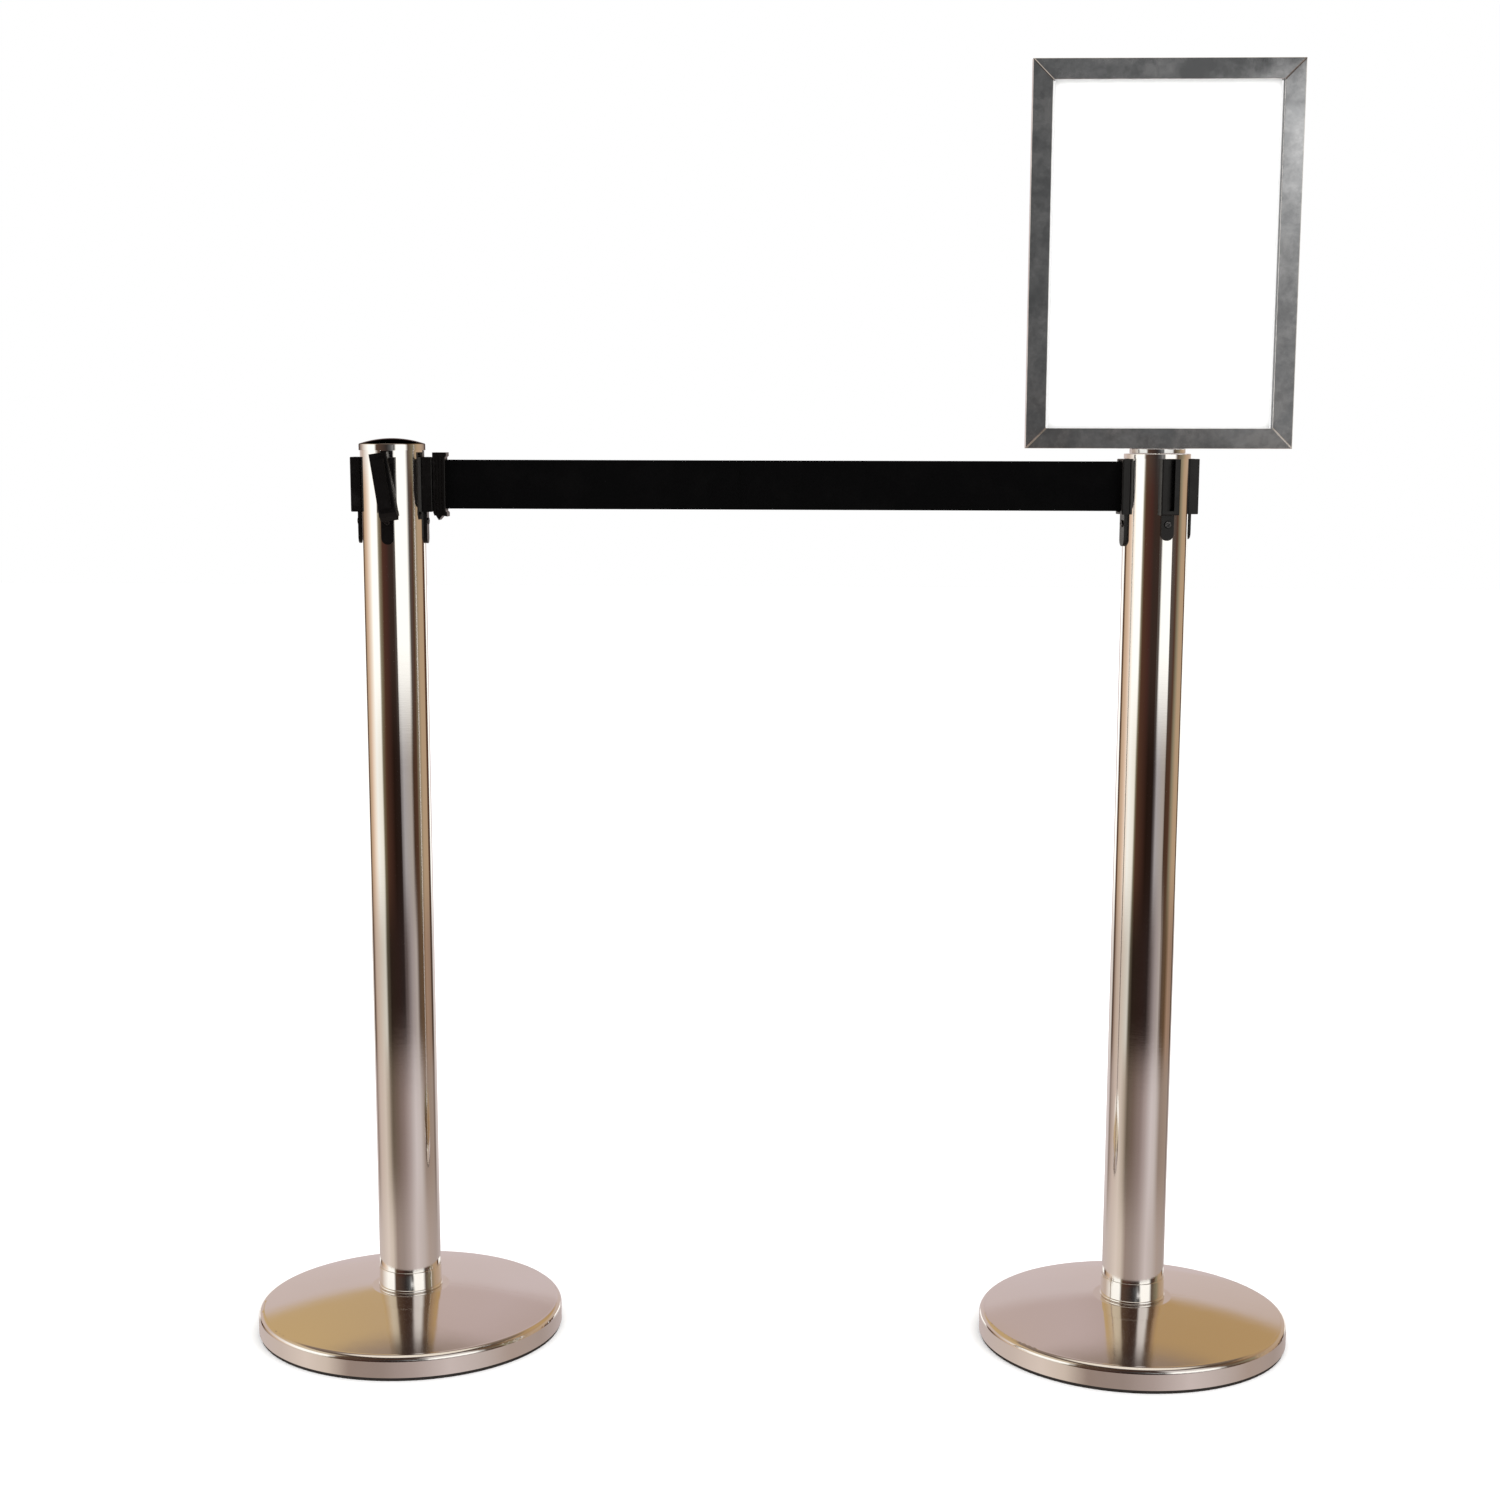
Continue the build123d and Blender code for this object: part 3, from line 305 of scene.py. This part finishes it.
def webbing():
    """Woven polyester: warp yarns along the belt, weft ribs across it, dusty fibre sheen."""
    cloth = Shader("belt_webbing")
    split = cloth.node("ShaderNodeSeparateXYZ")
    cloth.link(cloth.place, split.inputs["Vector"])
    along = cloth.math("ADD", split.outputs["X"], split.outputs["Y"])
    up = split.outputs["Z"]
    warp = cloth.math("SINE", cloth.math("MULTIPLY", up, 2 * math.pi / WARP_PITCH))
    weft = cloth.math("SINE", cloth.math("MULTIPLY", along, 2 * math.pi / WEFT_PITCH))
    weave = cloth.math("MULTIPLY", warp, weft)
    fuzz = cloth.noise(900.0, 4.0, 0.7)
    dust = cloth.noise(22.0, 5.0, 0.6)
    height = cloth.math("ADD", weave, cloth.math("MULTIPLY", fuzz, 0.6))
    tone = cloth.between(height, -0.7, 1.3)
    yarn = cloth.blend(tone, shade(1, 1, 1), shade(6, 6, 7))
    faded = cloth.between(dust, 0.5, 0.8, 0.0, 0.5)
    cloth.drive(cloth.blend(faded, yarn, shade(10, 9, 9)), "Base Color")
    cloth.drive(cloth.between(fuzz, 0.3, 0.7, 0.72, 0.92), "Roughness")
    cloth.set(Specular_IOR_Level=0.06, Sheen_Weight=0.003, Sheen_Roughness=0.5)
    cloth.bump(height, 0.00012, 0.7)
    return cloth.material


def rubber():
    """Floor ring: matt, dusty, slightly pitted."""
    gum = Shader("rubber")
    dust = gum.noise(60.0, 6.0, 0.65)
    gum.drive(gum.blend(dust, shade(22, 18, 17), shade(48, 42, 39)), "Base Color")
    gum.drive(gum.between(dust, 0.3, 0.7, 0.6, 0.88), "Roughness")
    gum.bump(gum.noise(1300.0, 4.0), 0.00006, 0.7)
    return gum.material


def cast_iron():
    """Sand-cast weight: rough, dark, freckled."""
    iron = Shader("cast_iron")
    iron.set(Metallic=0.55)
    sand = iron.noise(420.0, 5.0, 0.7)
    mottling = iron.noise(14.0, 5.0, 0.6)
    iron.drive(iron.blend(mottling, shade(74, 72, 72), shade(104, 92, 84)), "Base Color")
    iron.drive(iron.between(sand, 0.3, 0.7, 0.55, 0.8), "Roughness")
    iron.bump(sand, 0.0003, 0.8)
    return iron.material


def zinc_steel():
    """Zinc-plated fasteners: bluish, softly spangled."""
    zinc = Shader("zinc_steel")
    zinc.set(Metallic=1.0)
    spangle = zinc.cells(420.0)
    zinc.drive(zinc.blend(spangle, shade(196, 200, 208), shade(220, 220, 214)), "Base Color")
    zinc.drive(zinc.between(spangle, 0.0, 0.8, 0.22, 0.38), "Roughness")
    zinc.bump(zinc.noise(900.0, 3.0), 0.00002, 0.5)
    return zinc.material


def black_oxide():
    """Blackened screws, rubbed grey on their high spots."""
    screw = Shader("black_oxide")
    screw.set(Metallic=1.0)
    rubbed = screw.noise(700.0, 4.0, 0.6)
    worn = screw.between(rubbed, 0.4, 0.7)
    screw.drive(screw.blend(worn, shade(52, 52, 54), shade(126, 126, 126)), "Base Color")
    screw.drive(screw.between(rubbed, 0.3, 0.7, 0.28, 0.5), "Roughness")
    screw.bump(rubbed, 0.00003, 0.6)
    return screw.material


def spring_steel():
    """Blued strip with rolling lines."""
    strip = Shader("spring_steel")
    strip.set(Metallic=1.0)
    temper = strip.noise(35.0, 4.0)
    lines = strip.noise(1.0, 3.0, 0.6, (40.0, 40.0, 2400.0))
    strip.drive(strip.blend(temper, shade(150, 152, 160), shade(172, 166, 154)), "Base Color")
    strip.drive(strip.between(lines, 0.3, 0.7, 0.2, 0.36), "Roughness")
    strip.bump(lines, 0.00001, 0.6)
    return strip.material


def clear_acrylic():
    """Clear sheet, seen only as a faint film with small wipe marks."""
    sheet = Shader("clear_acrylic")
    wiped = sheet.noise(30.0, 5.0, 0.6)
    sheet.drive(sheet.blend(wiped, shade(248, 250, 250), shade(255, 255, 255)), "Base Color")
    sheet.drive(sheet.between(wiped, 0.3, 0.75, 0.03, 0.12), "Roughness")
    sheet.set(Alpha=0.08, IOR=1.49)
    sheet.bump(sheet.noise(14.0, 2.0), 0.0001, 0.3)
    return sheet.material


def white_card():
    """Uncoated card with a faint fibre."""
    card = Shader("white_card")
    fibre = card.noise(1.0, 5.0, 0.7, (900.0, 900.0, 500.0))
    card.drive(card.blend(fibre, shade(247, 247, 246), shade(253, 253, 252)), "Base Color")
    card.drive(card.between(fibre, 0.3, 0.7, 0.6, 0.75), "Roughness")
    card.bump(fibre, 0.00002, 0.4)
    return card.material


MATERIALS = {
    "polished_steel": polished_steel().material,
    "sign_steel": sign_steel(),
    "black_plastic": black_plastic(),
    "grey_plastic": grey_plastic(),
    "belt_webbing": webbing(),
    "rubber": rubber(),
    "cast_iron": cast_iron(),
    "zinc_steel": zinc_steel(),
    "spring_steel": spring_steel(),
    "clear_acrylic": clear_acrylic(),
    "white_card": white_card(),
}


def paint(piece, material):
    for place in piece.material_slots:
        place.material = material


def paint_cad_nodes():
    """Each CAD node takes its slot's material, and a few take a closer match of their own."""
    spun = spun_steel()
    blackened = black_oxide()
    closer = {
        "left_base_cover": spun,
        "right_base_cover": spun,
        "left_tail_screws": blackened,
        "right_tail_screws": blackened,
        "left_top_cap": domed_steel(),
    }
    for part in frame["record"]["subparts"]:
        name = part["node"]
        paint(frame["nodes"][name], closer.get(name, MATERIALS[part["material_slot"]]))


# Room seen in the reflections: colours by azimuth, 0 towards the camera, 90 to the right

WINDOW = shade(276, 274, 268)
CREAM = shade(250, 234, 216)
PEACH = shade(222, 190, 164)
MAUVE = shade(208, 192, 190)
TAN = shade(184, 156, 126)
OLIVE = shade(140, 130, 106)
UMBER = shade(84, 56, 42)
WALNUT = shade(72, 44, 38)
DUSK = shade(58, 44, 38)
SLATE = shade(88, 80, 74)

# Ends of the rings that the tubes mirror near their edges
FAR_LEFT = (
    (-180, MAUVE), (-163, MAUVE), (-160, WINDOW), (-142, WINDOW), (-138, UMBER),
    (-131, UMBER), (-123, TAN), (-106, PEACH), (-90, CREAM),
)
FAR_RIGHT = (
    (106, TAN), (128, TAN), (133, UMBER), (141, UMBER), (144, WINDOW), (160, WINDOW),
    (163, MAUVE), (180, MAUVE),
)

# Either side of the narrow window in the rings that the sign mirrors
SIGN_LEFT = (
    (-180, MAUVE), (-120, shade(206, 186, 172)), (-80, WINDOW), (-54, WINDOW),
    (-46, shade(92, 72, 60)), (-8, shade(54, 48, 46)),
)
SIGN_RIGHT = (
    (56, WINDOW), (66, shade(96, 80, 68)), (90, OLIVE), (110, TAN),
    (140, shade(196, 172, 150)), (180, MAUVE),
)

EYE_LEVEL = FAR_LEFT + (
    (-78, WINDOW), (-54, WINDOW), (-49, OLIVE), (-42, UMBER), (-20, WALNUT), (-8, DUSK),
    (4, DUSK), (10, SLATE), (17, SLATE), (22, WINDOW), (57, WINDOW), (66, SLATE), (80, UMBER),
    (92, OLIVE),
) + FAR_RIGHT
LOW_WALL = FAR_LEFT + (
    (-78, shade(255, 252, 244)), (-56, shade(244, 238, 224)), (-50, shade(120, 108, 84)),
    (-44, UMBER), (-20, shade(60, 38, 30)), (-8, shade(38, 24, 18)), (12, shade(40, 30, 26)),
    (19, shade(96, 88, 88)), (26, shade(170, 164, 164)), (54, shade(172, 162, 154)),
    (63, shade(72, 52, 38)), (78, UMBER), (90, OLIVE),
) + FAR_RIGHT
SKIRTING = (
    (-180, MAUVE), (-163, MAUVE), (-158, shade(232, 224, 218)), (-142, shade(222, 212, 204)),
    (-136, shade(70, 52, 44)), (-128, shade(104, 82, 68)), (-112, shade(194, 172, 156)),
    (-92, shade(206, 188, 172)), (-60, shade(216, 210, 198)), (-52, shade(92, 84, 70)),
    (-42, shade(44, 33, 26)), (-8, shade(46, 32, 28)), (12, shade(46, 36, 34)),
    (24, shade(96, 84, 82)), (42, shade(158, 146, 144)), (60, shade(180, 168, 162)),
    (70, shade(92, 74, 60)), (88, shade(100, 76, 54)), (104, shade(162, 132, 110)),
    (128, shade(150, 124, 106)), (134, shade(70, 52, 42)), (141, shade(84, 66, 56)),
    (146, shade(214, 204, 198)), (160, shade(226, 216, 212)), (165, MAUVE), (180, MAUVE),
)
FLOOR_FAR = (
    (-180, shade(206, 190, 188)), (-158, shade(220, 208, 206)), (-142, shade(212, 198, 194)),
    (-132, shade(140, 122, 112)), (-120, shade(176, 158, 148)), (-106, shade(204, 184, 172)),
    (-76, shade(214, 198, 184)), (-60, shade(180, 164, 148)), (-46, shade(106, 92, 78)),
    (-24, shade(118, 100, 90)), (0, shade(142, 124, 118)), (20, shade(172, 156, 152)),
    (44, shade(210, 198, 196)), (62, shade(204, 192, 188)), (82, shade(150, 132, 120)),
    (108, shade(158, 138, 124)), (126, shade(160, 142, 130)), (137, shade(120, 102, 92)),
    (148, shade(204, 192, 188)), (162, shade(216, 204, 200)), (180, shade(206, 190, 188)),
)
FLOOR_CLOSE = (
    (-180, shade(198, 184, 180)), (-162, shade(220, 208, 202)), (-142, shade(214, 200, 192)),
    (-134, shade(120, 100, 88)), (-124, shade(160, 138, 122)), (-100, shade(206, 190, 178)),
    (-72, shade(236, 226, 214)), (-56, shade(220, 206, 192)), (-44, shade(112, 92, 78)),
    (-12, shade(120, 102, 92)), (14, shade(170, 156, 150)), (32, shade(228, 218, 214)),
    (54, shade(226, 216, 210)), (66, shade(130, 110, 96)), (86, shade(138, 116, 100)),
    (104, shade(186, 164, 146)), (124, shade(170, 148, 132)), (136, shade(112, 94, 84)),
    (146, shade(212, 200, 194)), (164, shade(220, 208, 204)), (180, shade(198, 184, 180)),
)
FLOOR_NEAR = (
    (-180, shade(196, 182, 180)), (-106, shade(208, 192, 182)), (-76, shade(224, 208, 196)),
    (-56, shade(212, 196, 182)), (-38, shade(156, 138, 128)), (-12, shade(158, 142, 134)),
    (10, shade(176, 160, 154)), (38, shade(208, 194, 190)), (66, shade(194, 180, 174)),
    (90, shade(176, 158, 148)), (126, shade(170, 154, 146)), (180, shade(196, 182, 180)),
)
UPPER = (
    (-180, shade(194, 174, 170)), (-172, shade(196, 176, 170)), (-166.5, shade(194, 166, 126)),
    (-150, shade(200, 170, 122)), (-128, shade(198, 168, 124)), (-100, shade(206, 182, 150)),
    (-78, shade(214, 198, 174)), (-54, shade(206, 190, 166)), (-46, shade(92, 72, 56)),
    (-10, shade(66, 48, 40)), (14, shade(72, 56, 48)), (24, shade(220, 212, 208)),
    (52, shade(226, 220, 214)), (66, shade(110, 88, 70)), (84, shade(104, 80, 60)),
    (104, shade(170, 140, 108)), (140, shade(188, 156, 110)), (169, shade(182, 150, 106)),
    (174, shade(186, 166, 160)), (180, shade(194, 174, 170)),
)
BACK_WALL = SIGN_LEFT + (
    (3, grey(84)), (4.6, grey(88)), (6.6, grey(116)), (8.2, grey(94)), (9.8, grey(136)),
    (12, shade(140, 139, 138)), (18, shade(92, 90, 88)), (24, WINDOW),
) + SIGN_RIGHT
BACK_WALL_LAMP = SIGN_LEFT + (
    (3, grey(80)), (4.6, grey(92)), (6.6, grey(108)), (8.6, grey(116)), (9.6, grey(160)),
    (10.1, grey(236)), (14, shade(240, 239, 238)), (24, WINDOW),
) + SIGN_RIGHT
BACK_WALL_TOP = SIGN_LEFT + (
    (3, grey(72)), (5.6, grey(120)), (7.6, grey(98)), (9.2, grey(114)), (9.9, grey(72)),
    (18, shade(62, 61, 60)), (26, WINDOW),
) + SIGN_RIGHT
GLOOM = (
    (-180, shade(150, 132, 120)), (-90, shade(112, 96, 84)), (-40, shade(64, 52, 46)),
    (10, shade(60, 48, 44)), (38, shade(128, 118, 114)), (70, shade(70, 58, 50)),
    (120, shade(110, 92, 76)), (180, shade(150, 132, 120)),
)
CEILING = ((-180, shade(244, 232, 216)), (0, shade(250, 240, 226)), (180, shade(244, 232, 216)))

# Each band of the room: the elevations over which it takes over from the one below
BANDS = (
    (None, FLOOR_CLOSE),
    ((-26.0, -23.5), FLOOR_NEAR),
    ((-19.2, -16.9), FLOOR_FAR),
    ((-15.3, -14.1), SKIRTING),
    ((-12.3, -9.9), LOW_WALL),
    ((-8.0, -5.0), EYE_LEVEL),
    ((-1.4, -0.5), BACK_WALL),
    ((3.0, 6.8), BACK_WALL_LAMP),
    ((7.7, 8.0), BACK_WALL_TOP),
    ((17.0, 25.0), UPPER),
    ((40.0, 50.0), GLOOM),
    ((60.0, 70.0), CEILING),
)


class Room(NodeTree):
    """The world, seen as rings of colour that lie above each other."""

    def __init__(self):
        world = bpy.data.worlds.new("studio")
        scene.world = world
        super().__init__(world)
        world.cycles.sampling_method = "NONE"
        self.tree.nodes.clear()

    def ring(self, azimuth, stops):
        """Colour by azimuth, from -180 to 180 degrees."""
        made = self.node("ShaderNodeValToRGB")
        ramp = made.color_ramp
        while len(ramp.elements) < len(stops):
            ramp.elements.new(0.5)
        for element, (angle, colour) in zip(ramp.elements, stops):
            element.position = (angle + 180) / 360
            element.color = colour
        self.link(azimuth, made.inputs["Fac"])
        return made.outputs["Color"]


def build_room():
    """White to the camera, even white light on matt surfaces, a warm room in reflections."""
    room = Room()
    split = room.node("ShaderNodeSeparateXYZ")
    room.link(room.node("ShaderNodeTexCoord").outputs["Generated"], split.inputs["Vector"])
    east, north, up = split.outputs
    turn = room.math("ARCTAN2", east, room.math("MULTIPLY", north, -1.0))
    azimuth = room.math("MULTIPLY_ADD", turn, 0.5 / math.pi, 0.5)
    elevation = room.math("MULTIPLY", room.math("ARCSINE", up), 180 / math.pi)
    colour = None
    for limits, stops in BANDS:
        band = room.ring(azimuth, stops)
        if limits is None:
            colour = band
            continue
        share = room.between(elevation, *limits, interpolation_type="SMOOTHSTEP")
        colour = room.blend(share, colour, band)
    path = room.node("ShaderNodeLightPath")
    soft = room.blend(path.outputs["Is Diffuse Ray"], colour, WHITE)
    seen = room.blend(path.outputs["Is Camera Ray"], soft, WHITE)
    background = room.node("ShaderNodeBackground")
    room.link(seen, background.inputs["Color"])
    output = room.node("ShaderNodeOutputWorld")
    room.link(background.outputs["Background"], output.inputs["Surface"])


def aim_lamp(name, data, along):
    """Lamp that matt surfaces see, kept out of the mirror reflections."""
    lamp = add_object(name, data)
    lamp.rotation_euler = Vector(along).to_track_quat("-Z", "Y").to_euler()
    lamp.visible_glossy = False
    return lamp


def softbox(name, place, aim, side, power):
    """Large square lamp."""
    data = bpy.data.lights.new(name, "AREA")
    data.shape = "RECTANGLE"
    data.size = side
    data.size_y = side
    data.energy = power
    aim_lamp(name, data, Vector(aim) - Vector(place)).location = place


def sun(name, strength, along, spread):
    """Very soft sun that keeps the whole floor evenly pale."""
    data = bpy.data.lights.new(name, "SUN")
    data.energy = strength
    data.angle = math.radians(spread)
    aim_lamp(name, data, along)


def floor(reach=12.0, cells=8):
    """Plain pale floor with a faint mottle. It stays out of the mirror reflections."""
    bm = bmesh.new()
    bmesh.ops.create_grid(bm, x_segments=cells, y_segments=cells, size=reach)
    mesh = bpy.data.meshes.new("floor")
    bm.to_mesh(mesh)
    bm.free()
    piece = add_object("floor", mesh)
    paper = Shader("pale_floor")
    mottle = paper.noise(3.0, 3.0)
    paper.drive(paper.blend(mottle, grey(248), grey(252)), "Base Color")
    paper.set(Roughness=0.9, Specular_IOR_Level=0.0)
    mesh.materials.append(paper.material)
    piece.visible_glossy = False


def camera(place, tilt, roll, turn, lens, shift):
    """The photo's viewpoint. Tilt is how far it looks down, in radians like roll and turn."""
    data = bpy.data.cameras.new("camera")
    data.lens = lens
    data.sensor_width = 36.0
    data.shift_y = shift
    data.dof.use_dof = False
    piece = add_object("camera", data)
    piece.location = place
    piece.rotation_euler = (math.pi / 2 - tilt, roll, turn)
    scene.camera = piece


# Belts

def unit(angle):
    return Vector((math.cos(angle), math.sin(angle)))


def run(first, last, step):
    """Evenly spaced points from one point to another, without the last one."""
    count = max(2, round((last - first).length / step))
    return [first.lerp(last, index / count) for index in range(count)]


def outlet_course(post, heading, target):
    """Middle of a belt in plan, off its roll and round the guide pin, and its way on from there.

    The heading is that of the outlet in plan, in degrees from +X.
    """
    centre = centre_of(f"{post}_tube").to_2d()
    low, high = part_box(f"{post}_belt_roll")
    roll = (high.x - low.x) / 2 + ROLL_GAP + BELT_THICKNESS / 2
    ahead = unit(math.radians(heading))
    pin = centre + ahead * GUIDE_PIN_REACH + Vector((-ahead.y, ahead.x)) * GUIDE_PIN_OFFSET
    bend = GUIDE_PIN_RADIUS + PIN_GAP + BELT_THICKNESS / 2
    to_pin = pin - centre
    to_target = target - pin
    inward = math.atan2(to_pin.y, to_pin.x) - math.asin((roll + bend) / to_pin.length)
    onward = math.atan2(to_target.y, to_target.x) + math.asin(bend / to_target.length)
    sweep = (onward - inward + math.pi) % (2 * math.pi) - math.pi
    arc = []
    for step in range(GUIDE_STEPS + 1):
        bearing = inward + sweep * step / GUIDE_STEPS
        arc.append(pin - unit(bearing + math.pi / 2) * bend)
    start = centre + unit(inward + math.pi / 2) * roll
    return run(start, arc[0], GUIDED_STEP) + arc, unit(onward)


def pin_loop(pin, ahead):
    """End of a belt round a clip's pin, sewn back onto itself."""
    across = Vector((-ahead.y, ahead.x))
    bend = CLIP_PIN_RADIUS + PIN_GAP + BELT_THICKNESS / 2
    points = []
    for step in range(APPROACH_STEPS + 1):
        share = step / APPROACH_STEPS
        before = LOOP_APPROACH * (1 - share)
        points.append(pin - ahead * before + across * bend * eased(share))
    for step in range(1, LOOP_STEPS + 1):
        turn = math.pi / 2 - math.pi * step / LOOP_STEPS
        points.append(pin + ahead * math.cos(turn) * bend + across * math.sin(turn) * bend)
    for step in range(1, LOOP_STEPS + 1):
        share = step / LOOP_STEPS
        lap = bend + (SEWN_LAP_OFFSET - bend) * eased(min(share * LAP_CLOSING, 1.0))
        points.append(pin - ahead * SEWN_LAP * share - across * lap)
    return points


def webbing_section():
    """Closed outline of the webbing: (height, thickness) with thicker selvedges."""
    half = BELT_WIDTH / 2
    thin = BELT_THICKNESS / 2
    thick = SELVEDGE_THICKNESS / 2
    lower = [
        (-half + SELVEDGE_ROUND, thick * 0.8), (-half + SELVEDGE_START, thick),
        (-half + SELVEDGE_END, thick), (-half + SELVEDGE_STEP, thin),
        (-half * 0.62, thin), (-half * 0.31, thin),
    ]
    upper = [(-height, off) for height, off in reversed(lower)]
    side = lower + [(0.0, thin)] + upper
    other = [(height, -off) for height, off in reversed(side)]
    return side + [(half, 0.0)] + other + [(-half, 0.0)]


def ribbon(name, line, middle, tilts=None):
    """Strip of webbing on edge along a line in plan, tilted about its run where tilts say so."""
    section = webbing_section()
    bm = bmesh.new()
    rows = []
    for index, point in enumerate(line):
        before = line[max(index - 1, 0)]
        after = line[min(index + 1, len(line) - 1)]
        ahead = (after - before).normalized()
        across = Vector((-ahead.y, ahead.x, 0.0))
        tilt = tilts[index] if tilts else 0.0
        up = Vector((0.0, 0.0, math.cos(tilt))) - across * math.sin(tilt)
        out = across * math.cos(tilt) + Vector((0.0, 0.0, math.sin(tilt)))
        base = Vector((point.x, point.y, middle))
        rows.append([bm.verts.new(base + up * height + out * off) for height, off in section])
    for first, second in zip(rows, rows[1:]):
        for index in range(len(section)):
            after = (index + 1) % len(section)
            bm.faces.new((first[index], first[after], second[after], second[index]))
    ends = [bm.faces.new(rows[0]), bm.faces.new(reversed(rows[-1]))]
    bmesh.ops.recalc_face_normals(bm, faces=bm.faces)
    for face in bm.faces:
        face.smooth = face not in ends
    mesh = bpy.data.meshes.new(name)
    bm.to_mesh(mesh)
    bm.free()
    piece = add_object(name, mesh)
    mesh.materials.append(MATERIALS["belt_webbing"])
    return piece


def stretched_belt():
    """Belt from the right post to the clip hooked on the left post, in two pieces."""
    middle = centre_of("right_belt").z
    pin = centre_of("right_clip_pin").to_2d()
    start, ahead = outlet_course("right", RIGHT_OUTLET_HEADING, pin)
    loop = pin_loop(pin, ahead)
    seam = loop[0] - ahead * SEAM_TO_CLIP
    out = start + run(start[-1], seam, FREE_STEP)[1:] + [seam]
    end = run(seam, loop[0], GUIDED_STEP) + loop
    long_piece = ribbon("right_belt_run", out, middle)
    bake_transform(long_piece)
    end_piece = ribbon("right_belt_end", end, middle)
    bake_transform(end_piece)
    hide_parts("right_belt")
    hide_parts("right_belt")


def parked_belt():
    """End of the drawn-in belt, which twists a little to the tilt of the parked clip."""
    middle = centre_of("left_belt_roll").z
    pin_middle = centre_of("left_clip_pin")
    drop = (middle - pin_middle.z) / math.cos(PARKED_TILT)
    pin = Vector((pin_middle.x - math.sin(PARKED_TILT) * drop, pin_middle.y))
    start, ahead = outlet_course("left", LEFT_OUTLET_HEADING, pin)
    loop = pin_loop(pin, ahead)
    line = start + run(start[-1], loop[0], TWISTED_STEP)[1:] + loop
    guided = start[-1].y
    free = loop[0].y
    tilts = []
    for point in line:
        share = min(max((point.y - guided) / (free - guided), 0.0), 1.0)
        tilts.append(PARKED_TILT * eased(share))
    stub = ribbon("left_belt_end", line, middle, tilts)
    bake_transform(stub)
    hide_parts("left_belt")


camera((0.0666, -2.3782, 0.9244), 0.1692, -0.0021, 0.0373, lens=57.46, shift=0.06)
build_room()
floor()
sun("day", 1.1, (-0.25, 0.2, -1.0), 110.0)
softbox("key", (1.9, -2.0, 2.6), (0.2, 0.0, 0.8), 1.6, 22.0)
softbox("fill", (-2.2, -1.6, 1.8), (-0.1, 0.0, 0.5), 1.6, 8.0)
stretched_belt()
parked_belt()
paint_cad_nodes()
scene.view_settings.view_transform = "Standard"
scene.cycles.glossy_bounces = 8
